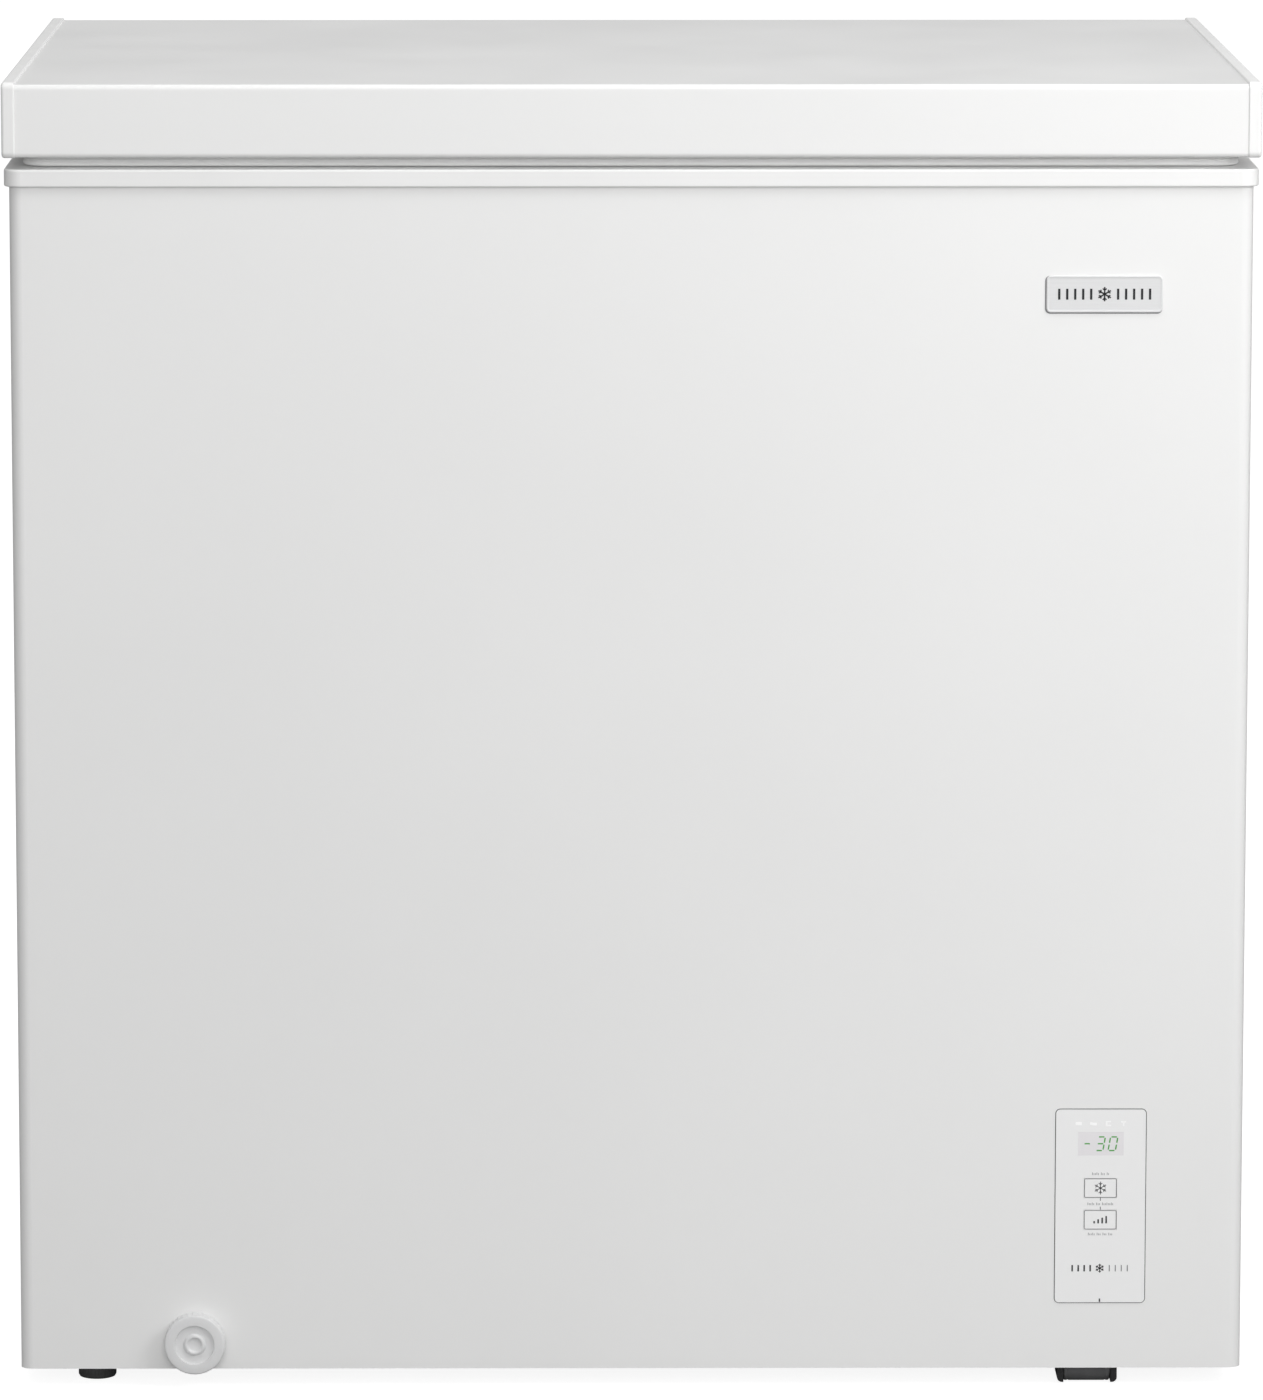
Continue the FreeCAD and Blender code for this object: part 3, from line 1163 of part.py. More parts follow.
node("basket_base", floor_grille())
node("basket_sides", group(
    long_side(("basket_front", "basket_front + basket_wire"),
              ("liner_front + 5 * part_gap", "basket_front + basket_wire")),
    long_side(("basket_back - basket_wire", "basket_back"),
              ("basket_back - basket_wire", "liner_back - 5 * part_gap"))))
node("basket_ends", group(
    short_side(("basket_left", "basket_left + basket_wire")),
    short_side(("basket_right - basket_wire", "basket_right"))))

# ---------------------------------------------------------------- checks and files
doc.recompute()
for thing in doc.Objects:
    if "Invalid" in thing.State or "Error" in thing.State:
        raise RuntimeError(f"{thing.Label} ({thing.Name}) failed: {thing.State}")
for piece in NODES:
    if piece.Shape.isNull() or not piece.Shape.isValid() or not piece.Shape.Solids:
        raise RuntimeError(piece.Label + " has no valid solid")

os.makedirs("parts", exist_ok=True)
for piece in NODES:
    piece.Shape.exportStep(f"parts/{piece.Label}.step")
print(len(NODES), "nodes")
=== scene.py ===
"""Looks for the chest freezer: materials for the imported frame, detailed pieces, studio and camera."""

import json
from math import cos, floor, pi, radians, sin, sqrt

import bmesh
import bpy
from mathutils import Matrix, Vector


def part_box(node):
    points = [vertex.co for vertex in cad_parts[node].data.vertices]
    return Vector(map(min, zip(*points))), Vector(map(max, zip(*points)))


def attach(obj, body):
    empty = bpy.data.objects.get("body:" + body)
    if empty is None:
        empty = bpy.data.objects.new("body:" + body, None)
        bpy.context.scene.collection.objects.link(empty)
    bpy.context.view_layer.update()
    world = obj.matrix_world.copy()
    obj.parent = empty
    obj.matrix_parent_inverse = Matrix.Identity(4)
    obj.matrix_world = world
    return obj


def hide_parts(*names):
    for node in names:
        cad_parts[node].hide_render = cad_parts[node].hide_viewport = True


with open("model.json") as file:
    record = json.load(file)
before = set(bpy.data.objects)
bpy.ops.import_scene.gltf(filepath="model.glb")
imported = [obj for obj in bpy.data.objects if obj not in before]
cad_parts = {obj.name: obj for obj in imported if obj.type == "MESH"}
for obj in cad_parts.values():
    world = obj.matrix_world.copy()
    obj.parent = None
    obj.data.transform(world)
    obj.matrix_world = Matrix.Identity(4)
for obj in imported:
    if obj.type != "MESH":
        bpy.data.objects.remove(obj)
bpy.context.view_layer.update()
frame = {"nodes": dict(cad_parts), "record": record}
MM = 0.001


def place_object(name, data):
    """Adds an object to the scene."""
    made = bpy.data.objects.new(name, data)
    bpy.context.scene.collection.objects.link(made)
    return made


# ---------------------------------------------------------------- camera

IMAGE_HEIGHT = 1400    # pixels, the picture's longer side
FOCAL_PIXELS = 8236.0
SENSOR = 36.0          # millimetres
LENS_SHIFT = (0.026, -0.05)
CAMERA_PLACE = (-0.0478, -5.5, 1.2892)
CAMERA_PITCH = 0.15004    # radians below level
CAMERA_YAW = -0.00469
VIEW_REACH = 100    # metres


def make_camera():
    data = bpy.data.cameras.new("camera")
    camera = place_object("camera", data)
    data.sensor_width = SENSOR
    data.lens = FOCAL_PIXELS / IMAGE_HEIGHT * SENSOR
    data.shift_x, data.shift_y = LENS_SHIFT
    data.clip_end = VIEW_REACH
    camera.location = CAMERA_PLACE
    camera.rotation_euler = (pi / 2 - CAMERA_PITCH, 0, CAMERA_YAW)
    bpy.context.scene.camera = camera


# ---------------------------------------------------------------- materials

class Finish:
    """A node material built up from a base coat, tone and gloss variation, and bumps."""

    def __init__(self, name, colour, rough, metal=0.0):
        self.material = bpy.data.materials.new(name)
        self.material.use_nodes = True
        self.tree = self.material.node_tree
        self.shader = self.tree.nodes["Principled BSDF"]
        self.colour = colour
        self.rough = rough
        self.set("Base Color", (*colour, 1))
        self.set("Roughness", rough)
        self.set("Metallic", metal)
        self.place = self.tree.nodes.new("ShaderNodeTexCoord").outputs["Object"]
        self.normal = None

    def set(self, socket, number):
        self.shader.inputs[socket].default_value = number
        return self

    def add(self, kind, **inputs):
        """A new node; an input's name has _ where the socket's has a space."""
        made = self.tree.nodes.new(kind)
        for name, number in inputs.items():
            made.inputs[name.replace("_", " ")].default_value = number
        return made

    def link(self, output, socket):
        self.tree.links.new(output, socket)

    def stretched(self, stretch):
        """Object coordinates, scaled unless stretch is None."""
        if stretch is None:
            return self.place
        mapping = self.add("ShaderNodeMapping", Scale=stretch)
        self.link(self.place, mapping.inputs["Vector"])
        return mapping.outputs["Vector"]

    def noise(self, scale, detail=3.0, stretch=None):
        made = self.add("ShaderNodeTexNoise", Scale=scale, Detail=detail)
        self.link(self.stretched(stretch), made.inputs["Vector"])
        return made.outputs["Fac"]

    def cells(self, scale, output="Distance", stretch=None, feature="F1"):
        made = self.add("ShaderNodeTexVoronoi", Scale=scale)
        made.feature = feature
        self.link(self.stretched(stretch), made.inputs["Vector"])
        return made.outputs[output]

    def spread(self, source, low, high, start=0.3, stop=0.7):
        """Maps a source's span from start to stop onto a range."""
        made = self.add("ShaderNodeMapRange", From_Min=start, From_Max=stop, To_Min=low, To_Max=high)
        self.link(source, made.inputs["Value"])
        return made.outputs["Result"]

    def tones(self, source, dark, light, start=0.3, stop=0.7):
        """Base colour running between two tones."""
        ramp = self.add("ShaderNodeValToRGB")
        for index, (position, tone) in enumerate(((start, dark), (stop, light))):
            ramp.color_ramp.elements[index].position = position
            ramp.color_ramp.elements[index].color = (*tone, 1)
        self.link(source, ramp.inputs["Fac"])
        self.link(ramp.outputs["Color"], self.shader.inputs["Base Color"])
        return self

    def vary(self, amount, scale, detail=3.0, stretch=None):
        """Lighter and darker patches of the base colour."""
        dark = tuple(c * (1 - amount) for c in self.colour)
        light = tuple(min(1.0, c * (1 + amount)) for c in self.colour)
        return self.tones(self.noise(scale, detail, stretch), dark, light)

    def gloss(self, amount, scale, detail=3.0, stretch=None):
        """Duller and shinier patches."""
        source = self.noise(scale, detail, stretch)
        self.link(self.spread(source, self.rough - amount, self.rough + amount),
                  self.shader.inputs["Roughness"])
        return self

    def bump(self, source, height, strength=1.0):
        """Relief from a source, on top of any relief that is there already; height is in metres."""
        made = self.add("ShaderNodeBump", Strength=strength, Distance=height)
        self.link(source, made.inputs["Height"])
        if self.normal is not None:
            self.link(self.normal, made.inputs["Normal"])
        self.normal = made.outputs["Normal"]
        self.link(self.normal, self.shader.inputs["Normal"])
        return self


# finish: material name, colour, roughness, tone (amount, scale), gloss (amount, scale) or None,
# grain (noise scale, noise detail, height in metres, strength)
PLAIN_FINISHES = {
    "white_plastic": ("white plastic", (0.87, 0.87, 0.865), 0.38,
                      (0.012, 14), (0.05, 60), (1900, 2.0, 0.00003, 0.5)),
    # painted shade: the drain plug's white plastic is set darker than the white plastic beside it, standing in
    # for the shade on its face
    "shaded_drain_plastic": ("drain plastic, darkened for painted shade", (0.755, 0.757, 0.76), 0.42,
                      (0.01, 90), (0.04, 120), (1700, 2.0, 0.00003, 0.5)),
    "grey_steel": ("grey powder coat", (0.50, 0.51, 0.52), 0.5,
                   (0.04, 11), (0.05, 50), (900, 3.0, 0.00007, 0.6)),
    "black_steel": ("black baked paint", (0.025, 0.026, 0.028), 0.33,
                    (0.25, 16), (0.09, 30), (700, 3.0, 0.00006, 0.5)),
    "gasket_vinyl": ("gasket vinyl", (0.95, 0.95, 0.945), 0.5,
                     (0.012, 18), (0.05, 70), (1500, 2.0, 0.00002, 0.4)),
    "black_plastic": ("black plastic", (0.018, 0.018, 0.019), 0.42,
                      (0.3, 60), (0.08, 200), (2400, 2.0, 0.00005, 0.7)),
    "foot_plastic": ("foot plastic", (0.085, 0.085, 0.087), 0.34,
                     (0.12, 90), (0.06, 200), (2200, 2.0, 0.00004, 0.6)),
    "grey_plastic": ("grey plastic", (0.12, 0.12, 0.123), 0.5,
                     (0.12, 80), (0.06, 200), (1800, 3.0, 0.00005, 0.7)),
    "grey_fascia": ("light grey fascia", (0.90, 0.90, 0.90), 0.3,
                    (0.003, 30), (0.02, 90), (2600, 2.0, 0.00002, 0.5)),
    "key_film": ("key film", (0.90, 0.90, 0.90), 0.34,
                 (0.012, 90), (0.04, 300), (3000, 2.0, 0.00002, 0.6)),
    "window_dark": ("window film", (0.83, 0.812, 0.83), 0.2,
                    (0.008, 60), (0.03, 150), (1500, 1.0, 0.00001, 0.4)),
    "wire_white": ("coated wire", (0.84, 0.845, 0.84), 0.32,
                   (0.02, 35), (0.05, 80), (800, 2.0, 0.00006, 0.5)),
    "black_rubber": ("black rubber", (0.022, 0.022, 0.022), 0.72,
                     (0.2, 50), None, (1500, 3.0, 0.00008, 0.7)),
    # painted shadow: dark tone for the ring in the gap round the control panel
    "gap_shadow_dark": ("painted gap shadow", (0.045, 0.045, 0.048), 0.7,
                    (0.1, 200), None, (1500, 3.0, 0.00002, 0.4)),
    "dark_ink": ("dark ink", (0.02, 0.021, 0.024), 0.5,
                 (0.12, 700), None, (2500, 3.0, 0.00001, 0.4)),
    # grey ink for print, also used for the painted shadow line under the badge
    "grey_ink_and_shadow": ("grey ink and painted shadow", (0.27, 0.27, 0.28), 0.5,
                 (0.1, 700), None, (2500, 3.0, 0.00001, 0.4)),
    "glowing_white_ink": ("white ink with painted glow", (0.93, 0.93, 0.93), 0.35,
                  (0.02, 700), None, (2500, 3.0, 0.00001, 0.4)),
    "green_light": ("green segments", (0.07, 0.27, 0.055), 0.4,
                    (0.12, 500), None, (2500, 3.0, 0.00001, 0.4)),
}
SPANGLE_SCALE = 130            # cells per metre of the sheet's zinc coat
SPANGLE_SPAN = (0.1, 0.9)      # part of a cell's random tone that is used
TRACK_STRETCH = (1, 1, 0.25)   # copper tracks run along Z
BRUSHED = (0.02, 1, 1)         # brushing runs along X


def make_plain_finishes():
    made = {}
    for key, (name, colour, rough, tone, gloss, grain) in PLAIN_FINISHES.items():
        finish = Finish(name, colour, rough).vary(*tone)
        if gloss:
            finish.gloss(*gloss)
        scale, detail, height, strength = grain
        made[key] = finish.bump(finish.noise(scale, detail), height, strength)
    made["wire_white"].set("Coat Weight", 0.2)
    # painted glow: the white print gives off light of its own, though it is no lamp
    made["glowing_white_ink"].set("Emission Color", (1, 1, 1, 1)).set("Emission Strength", 0.14)
    made["green_light"].set("Emission Color", (0.12, 0.85, 0.08, 1)).set("Emission Strength", 0.11)
    return made


def make_special_finishes():
    enamel = Finish("white enamel", (0.86, 0.86, 0.855), 0.34)
    enamel.set("Coat Weight", 0.25).set("Coat Roughness", 0.22)
    enamel.vary(0.012, 2.2).gloss(0.05, 9)
    enamel.bump(enamel.noise(3.5, 1.0), 0.0008, 0.35)
    enamel.bump(enamel.noise(620, 2.0), 0.00004, 0.5)

    panel = Finish("white panel", (0.85, 0.855, 0.86), 0.34).vary(0.004, 7).gloss(0.03, 60)
    panel.bump(panel.cells(420, feature="SMOOTH_F1"), 0.00012, 0.5)

    liner = Finish("embossed aluminium", (0.84, 0.845, 0.85), 0.42, 0.3).vary(0.01, 5).gloss(0.05, 60)
    liner.bump(liner.cells(190, feature="SMOOTH_F1"), 0.0008, 0.7)

    sheet = Finish("galvanised sheet", (0.7, 0.715, 0.72), 0.44, 0.55)
    sheet.tones(sheet.cells(SPANGLE_SCALE, "Color"), (0.655, 0.67, 0.68), (0.745, 0.76, 0.765), *SPANGLE_SPAN)
    sheet.link(sheet.spread(sheet.cells(SPANGLE_SCALE, "Color"), 0.38, 0.50, *SPANGLE_SPAN),
               sheet.shader.inputs["Roughness"])
    sheet.bump(sheet.noise(160, 3.0), 0.00012, 0.4)

    zinc = Finish("zinc plate", (0.76, 0.765, 0.765), 0.32, 0.75).vary(0.05, 45).gloss(0.08, 160)
    zinc.bump(zinc.noise(1200, 2.0, (1, 1, 0.15)), 0.00003, 0.5)

    foam = Finish("urethane foam", (0.78, 0.66, 0.38), 0.9).vary(0.08, 40)
    foam.bump(foam.cells(520), 0.0006, 0.8)

    copper = Finish("copper tube", (0.80, 0.42, 0.26), 0.3, 1.0)
    copper.tones(copper.noise(35, 4.0), (0.42, 0.20, 0.12), (0.86, 0.47, 0.30), 0.35, 0.62)
    copper.gloss(0.1, 80).bump(copper.noise(500, 3.0), 0.00005, 0.5)

    board = Finish("circuit board", (0.03, 0.16, 0.07), 0.4)
    board.tones(board.cells(260, stretch=TRACK_STRETCH), (0.02, 0.10, 0.045), (0.06, 0.26, 0.11), 0.2, 0.6)
    board.bump(board.cells(260, stretch=TRACK_STRETCH), 0.00005, 0.6)

    badge = Finish("badge metal", (0.72, 0.722, 0.726), 0.38)
    badge.vary(0.02, 900, 2.0, BRUSHED).gloss(0.06, 700, 2.0, BRUSHED)
    badge.bump(badge.noise(1500, 2.0, BRUSHED), 0.00001, 0.6)

    return {"white_enamel": enamel, "white_panel": panel, "liner_aluminium": liner,
            "galvanised_steel": sheet, "zinc_steel": zinc, "foam": foam, "copper": copper,
            "circuit_board": board, "badge_metal": badge}


FINISHES = {**make_plain_finishes(), **make_special_finishes()}
SLOTS = [row["slot"] for row in frame["record"]["materials"]]


def dress_cad_nodes():
    """Gives every CAD node the finish of its slot; the shapes stay as they are."""
    for node in frame["nodes"].values():
        name = node.data.materials[0].name
        slot = next(slot for slot in SLOTS if name.startswith(slot))
        for holder in node.material_slots:
            holder.material = FINISHES[slot].material


# ---------------------------------------------------------------- mesh helpers

# for an axis: the two coordinates across it, then the one along it
AXES = {"x": (1, 2, 0), "y": (0, 2, 1), "z": (0, 1, 2)}


def spot(axis, across, up, along):
    """A point from two coordinates across an axis and one along it."""
    first, second, third = AXES[axis]
    point = [0.0, 0.0, 0.0]
    point[first], point[second], point[third] = across, up, along
    return Vector(point)


def seen_along(axis, low, high):
    """Centre and half size of a box across an axis."""
    pair = AXES[axis][:2]
    return (tuple((low[i] + high[i]) / 2 for i in pair),
            tuple((high[i] - low[i]) / 2 for i in pair))


def in_metres(profile, start=0.0):
    """A profile of (radius, along) drawn in millimetres, set off along its axis."""
    return [(radius * MM, start + along * MM) for radius, along in profile]


def corners(left, right, front, back, height):
    """A level rectangle."""
    return [(left, front, height), (right, front, height), (right, back, height), (left, back, height)]


def loft(bm, rings, closed=False):
    """Skins a row of rings that all have the same number of points."""
    made = [[bm.verts.new(p) for p in ring] for ring in rings]
    pairs = list(zip(made, made[1:]))
    if closed:
        pairs.append((made[-1], made[0]))
    for low, high in pairs:
        count = len(low)
        for i in range(count):
            j = (i + 1) % count
            bm.faces.new((low[i], low[j], high[j], high[i]))
    if not closed:
        bm.faces.new(made[0][::-1])
        bm.faces.new(made[-1])


def turned(axis, centre, profile, steps=64, wave=None):
    """Rings of a profile of (radius, along) turned about an axis; wave(angle, along) adds to the radius."""
    rings = []
    for radius, along in profile:
        ring = []
        for i in range(steps):
            angle = 2 * pi * i / steps
            reach = radius + (wave(angle, along) if wave else 0.0)
            ring.append(spot(axis, centre[0] + reach * cos(angle), centre[1] + reach * sin(angle), along))
        rings.append(ring)
    return rings


def rounded_rect(half_u, half_v, radius, steps=6):
    """Corner-rounded rectangle outline about the origin."""
    radius = max(radius, 1e-5)
    points = []
    for quarter, (su, sv) in enumerate(((1, 1), (-1, 1), (-1, -1), (1, -1))):
        for i in range(steps + 1):
            angle = pi / 2 * (quarter + i / steps)
            points.append((su * (half_u - radius) + radius * cos(angle),
                           sv * (half_v - radius) + radius * sin(angle)))
    return points


def plate(bm, centre, half, radius, layers):
    """A rounded plate on the front; layers are (inset, along) from one face to the other."""
    rings = []
    for inset, along in layers:
        outline = rounded_rect(half[0] - inset, half[1] - inset, radius - inset)
        rings.append([spot("y", centre[0] + u, centre[1] + v, along) for u, v in outline])
    loft(bm, rings)


def eased(low, high, round_off):
    """Layers of a plate whose two rims are rounded."""
    steps = 4
    angles = [pi / 2 * i / steps for i in range(steps + 1)]
    first = [(round_off * (1 - sin(a)), low + round_off * (1 - cos(a))) for a in angles]
    second = [(inset, low + high - along) for inset, along in first[::-1]]
    return first + second


def tube(bm, points, radius, sides=10, closed=False):
    """A round wire along a line of points."""
    points = [Vector(p) for p in points]
    count = len(points)
    angles = [2 * pi * k / sides for k in range(sides)]
    rings = []
    side = None
    for i, point in enumerate(points):
        before = points[i - 1] if (i or closed) else point
        after = points[(i + 1) % count] if (i + 1 < count or closed) else point
        run = (after - before).normalized()
        if side is None:
            side = run.orthogonal().normalized()
        side = (side - run * side.dot(run)).normalized()
        other = run.cross(side)
        rings.append([point + (side * cos(a) + other * sin(a)) * radius for a in angles])
    loft(bm, rings, closed)


def bent(points, radius, steps=6, closed=False):
    """The points with their corners rounded."""
    points = [Vector(p) for p in points]
    count = len(points)
    result = []
    for i, point in enumerate(points):
        if not closed and i in (0, count - 1):
            result.append(point)
            continue
        into = points[i - 1] - point
        out = points[(i + 1) % count] - point
        reach = min(radius, into.length * 0.49, out.length * 0.49)
        start, stop = point + into.normalized() * reach, point + out.normalized() * reach
        for k in range(steps + 1):
            t = k / steps
            result.append(start * (1 - t) ** 2 + point * 2 * t * (1 - t) + stop * t ** 2)
    return result


def vent_plate(bm, axis, across, up, holes_across, holes_up, low, high):
    """A plate with rows of slots; holes_* are the (start, stop) spans of the openings."""
    def breaks(span, holes):
        return sorted({*span, *(edge for hole in holes for edge in hole)})

    us, vs = breaks(across, holes_across), breaks(up, holes_up)
    made = {}

    def is_open(i, j):
        if not (0 <= i < len(us) - 1 and 0 <= j < len(vs) - 1):
            return True
        return ((us[i], us[i + 1]) in holes_across) and ((vs[j], vs[j + 1]) in holes_up)

    def vert(i, j, along):
        key = (i, j, along)
        if key not in made:
            made[key] = bm.verts.new(spot(axis, us[i], vs[j], along))
        return made[key]

    for i in range(len(us) - 1):
        for j in range(len(vs) - 1):
            if is_open(i, j):
                continue
            ring = ((i, j), (i + 1, j), (i + 1, j + 1), (i, j + 1))
            for along in (low, high):
                bm.faces.new([vert(a, b, along) for a, b in ring])
            beyond = ((i, j - 1), (i + 1, j), (i, j + 1), (i - 1, j))
            for a, b, neighbour in zip(ring, ring[1:] + ring[:1], beyond):
                if is_open(*neighbour):
                    bm.faces.new([vert(*a, low), vert(*b, low), vert(*b, high), vert(*a, high)])


def lumps(node):
    """The boxes of a CAD node's separate solids."""
    bm = bmesh.new()
    bm.from_mesh(frame["nodes"][node].data)
    bmesh.ops.remove_doubles(bm, verts=bm.verts, dist=1e-5)
    left, found = set(bm.verts), []
    while left:
        stack = [left.pop()]
        low = high = stack[0].co.copy()
        while stack:
            vert = stack.pop()
            low = Vector(map(min, low, vert.co))
            high = Vector(map(max, high, vert.co))
            for edge in vert.link_edges:
                other = edge.other_vert(vert)
                if other in left:
                    left.remove(other)
                    stack.append(other)
        found.append((low, high))
    bm.free()
    return sorted(found, key=lambda pair: tuple(round(c, 4) for c in pair[0]))


def piece(name, bm, finish, body, replaces=(), sharp=38):
    """Turns a mesh under construction into a piece that rides on a body."""
    bmesh.ops.remove_doubles(bm, verts=bm.verts, dist=1e-7)
    bmesh.ops.recalc_face_normals(bm, faces=bm.faces)
    mesh = bpy.data.meshes.new(name)
    bm.to_mesh(mesh)
    bm.free()
    mesh.shade_smooth()
    mesh.set_sharp_from_angle(angle=radians(sharp))
    mesh.materials.append(FINISHES[finish].material)
    made = place_object(name, mesh)
    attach(made, body)
    if replaces:
        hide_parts(*replaces)


# ---------------------------------------------------------------- lid gasket

# one bellows wall from top to bottom: inset in millimetres, share of the height
GASKET_WALL = ((1.0, 1.0), (0.5, 0.97), (0.45, 0.88), (0.9, 0.80), (1.5, 0.74), (1.6, 0.68), (1.1, 0.64),
               (0.5, 0.61), (0.45, 0.58), (0.8, 0.55), (0.7, 0.50), (0.25, 0.42), (0.0, 0.30), (0.05, 0.18),
               (0.35, 0.10), (1.0, 0.05), (1.9, 0.0))
GASKET_WIDTH = 14     # millimetres
GASKET_CORNER = 16


def make_gasket():
    low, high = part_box("lid_gasket")
    centre, half = seen_along("z", low, high)
    inner_wall = [(GASKET_WIDTH - inset, share) for inset, share in GASKET_WALL[::-1]]
    rings = []
    for inset, share in [*GASKET_WALL, *inner_wall]:
        height = low.z + (high.z - low.z) * share
        outline = rounded_rect(half[0] - inset * MM, half[1] - inset * MM, (GASKET_CORNER - inset) * MM,
                               steps=8)
        rings.append([spot("z", centre[0] + u, centre[1] + v, height) for u, v in outline])
    bm = bmesh.new()
    loft(bm, rings, closed=True)
    piece("gasket_bellows", bm, "gasket_vinyl", "lid", ["lid_gasket"], sharp=70)


# ---------------------------------------------------------------- drain plug and floor stopper

# turned profiles in millimetres: radius, distance from the face or from the foot
PLUG_PROFILE = ((0.2, 1.6), (3.7, 1.6), (4.2, 1.35), (4.5, 0.8), (4.9, 0.4), (5.5, 0.28), (6.1, 0.4),
                (6.5, 0.8), (6.8, 1.25), (7.3, 1.8), (12.2, 1.9), (12.6, 1.75), (12.75, 1.3), (12.8, 0.3),
                (12.95, 0.05), (13.4, 0.0), (18.3, 0.12), (19.0, 0.3), (19.4, 0.7), (19.55, 1.3),
                (19.5, 1.9), (19.5, 9.0), (19.55, 9.6), (19.6, 10.3), (19.3, 11.0), (18.8, 11.3),
                (11.9, 11.4), (11.9, 13.6), (11.5, 14.2), (11.9, 14.8), (11.9, 16.6), (11.5, 17.2),
                (11.9, 17.8), (11.9, 19.6), (11.5, 20.2), (11.9, 20.8), (11.9, 29.5), (11.3, 30.9),
                (10.6, 31.2), (0.2, 31.2))
PLUG_RADIUS = 19.7       # as drawn
PLUG_RIBS = 36
PLUG_RIB_HEIGHT = 0.35 * MM
PLUG_RIB_SPAN = (1.6, 9.8)
STOPPER_PROFILE = ((0.2, 15.0), (4.2, 15.0), (4.9, 14.7), (5.0, 14.0), (4.2, 12.9), (3.8, 11.8), (4.4, 11.0),
                   (6.5, 10.6), (13.6, 10.4), (15.0, 10.9), (15.8, 11.0), (16.0, 10.5), (15.9, 9.3),
                   (15.4, 9.0), (7.9, 8.9), (7.8, 6.5), (8.0, 6.0), (7.8, 5.5), (7.8, 2.0), (6.9, 0.3),
                   (0.2, 0.0))
STOPPER_HEIGHT = 15.0    # as drawn


def make_drain_plug():
    low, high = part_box("drain_plug")
    centre, (radius, _) = seen_along("y", low, high)
    scale = radius / PLUG_RADIUS

    def grip(angle, along):
        depth = (along - low.y) / MM
        ribbed = PLUG_RIB_SPAN[0] < depth < PLUG_RIB_SPAN[1]
        return PLUG_RIB_HEIGHT * max(0.0, sin(PLUG_RIBS * angle)) ** 2 * ribbed

    profile = [(r * scale, low.y + a * MM) for r, a in PLUG_PROFILE]
    bm = bmesh.new()
    loft(bm, turned("y", centre, profile, PLUG_RIBS * 8, grip))
    piece("drain_cap", bm, "shaded_drain_plastic", "drain_plug", ["drain_plug"])


def make_stopper():
    low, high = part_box("drain_stopper")
    centre, _ = seen_along("z", low, high)
    scale = (high.z - low.z) / STOPPER_HEIGHT
    bm = bmesh.new()
    profile = [(r * MM, low.z + a * scale) for r, a in STOPPER_PROFILE]
    loft(bm, turned("z", centre, profile, steps=48))
    piece("stopper_turned", bm, "white_plastic", "drain_stopper", ["drain_stopper"])


# ---------------------------------------------------------------- feet and rollers

KNURLS = 30
KNURL_DEPTH = 0.33 * MM
KNURL_SPAN = (1.2, 8.0)     # millimetres above the floor
THREAD_START = 9.8
THREAD_PITCH = 1.25
AXLE_BORE = 3.06            # radius


def make_foot(node):
    low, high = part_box(node)
    centre, _ = seen_along("z", low, high)
    top = (high.z - low.z) / MM
    profile = [(0.2, 0.0), (10.9, 0.0), (11.6, 0.25), (12.0, 0.9), (12.05, 1.6), (12.05, 7.4), (12.0, 8.1),
               (11.4, 8.8), (10.6, 9.0), (5.2, 9.2), (4.2, THREAD_START)]
    turn = THREAD_START
    while turn < top - 2.0:
        profile += [(3.95, turn + 0.35), (3.95, turn + 0.6), (3.45, turn + 0.95), (3.45, turn + 1.1)]
        turn += THREAD_PITCH
    profile += [(3.4, top - 0.6), (2.9, top), (0.2, top)]

    def knurl(angle, along):
        knurled = KNURL_SPAN[0] < (along - low.z) / MM < KNURL_SPAN[1]
        return KNURL_DEPTH * (abs(sin(KNURLS * angle / 2)) ** 0.7) * knurled

    bm = bmesh.new()
    loft(bm, turned("z", centre, in_metres(profile, low.z), KNURLS * 6, knurl))
    piece(node + "_knurled", bm, "foot_plastic", node, [node])


def make_roller(node):
    low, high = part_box(node)
    centre, (_, radius) = seen_along("x", low, high)
    radius, width = radius / MM, (high.x - low.x) / MM
    half = [(AXLE_BORE, 0.0), (5.2, 0.0), (5.6, 0.5), (6.0, 1.5), (9.0, 1.5), (9.6, 1.2), (10.0, 0.3),
            (10.6, 0.0), (radius - 1.0, 0.0), (radius - 0.3, 0.3), (radius, 1.0), (radius, 2.2),
            (radius - 0.3, 2.6), (radius - 0.3, 3.1), (radius, 3.5), (radius, 14.0)]
    profile = half + [(r, width - a) for r, a in half[::-1]]
    bm = bmesh.new()
    loft(bm, turned("x", centre, in_metres(profile, low.x), steps=72), closed=True)
    piece(node + "_tread", bm, "grey_plastic", node, [node])


# ---------------------------------------------------------------- badge, display and printed marks

PRINT = 0.07 * MM              # thickness of printed ink
FORK_ANGLE = radians(50)       # of a frost mark's branches, from its arm
FORK_START, FORK_REACH = 0.55, 0.36      # shares of the arm
FORK_WIDTH = 0.85              # share of the arm's width
BADGE_CORNER = 2.8 * MM
FASCIA_CORNER = 2.8 * MM
# the badge's rolled rim, from its sunk face outwards: inset, distance from the front
BADGE_LAYERS = ((2.2, 0.25), (1.5, 0.25), (1.15, 0.1), (0.95, 0.0), (0.5, 0.0), (0.2, 0.12), (0.0, 0.45))
BADGE_SINK = 0.25 * MM
DIGIT_SEGMENTS = {"-": "g", "3": "abcdg", "0": "abcdef"}
DIGIT_LEFT = {"-": 3.6 * MM, "3": 12.2 * MM, "0": 20.3 * MM}    # from the window's left edge
KEY_CORNER, KEY_LINE = 1.0 * MM, 0.42 * MM
KEY_BARS = (0.35, 0.6, 0.85, 1.1)        # the signal mark's bars, shares of KEY_BAR_HEIGHT
KEY_BAR_HEIGHT = 4.4 * MM
KEY_BAR_PITCH = 2.6 * MM
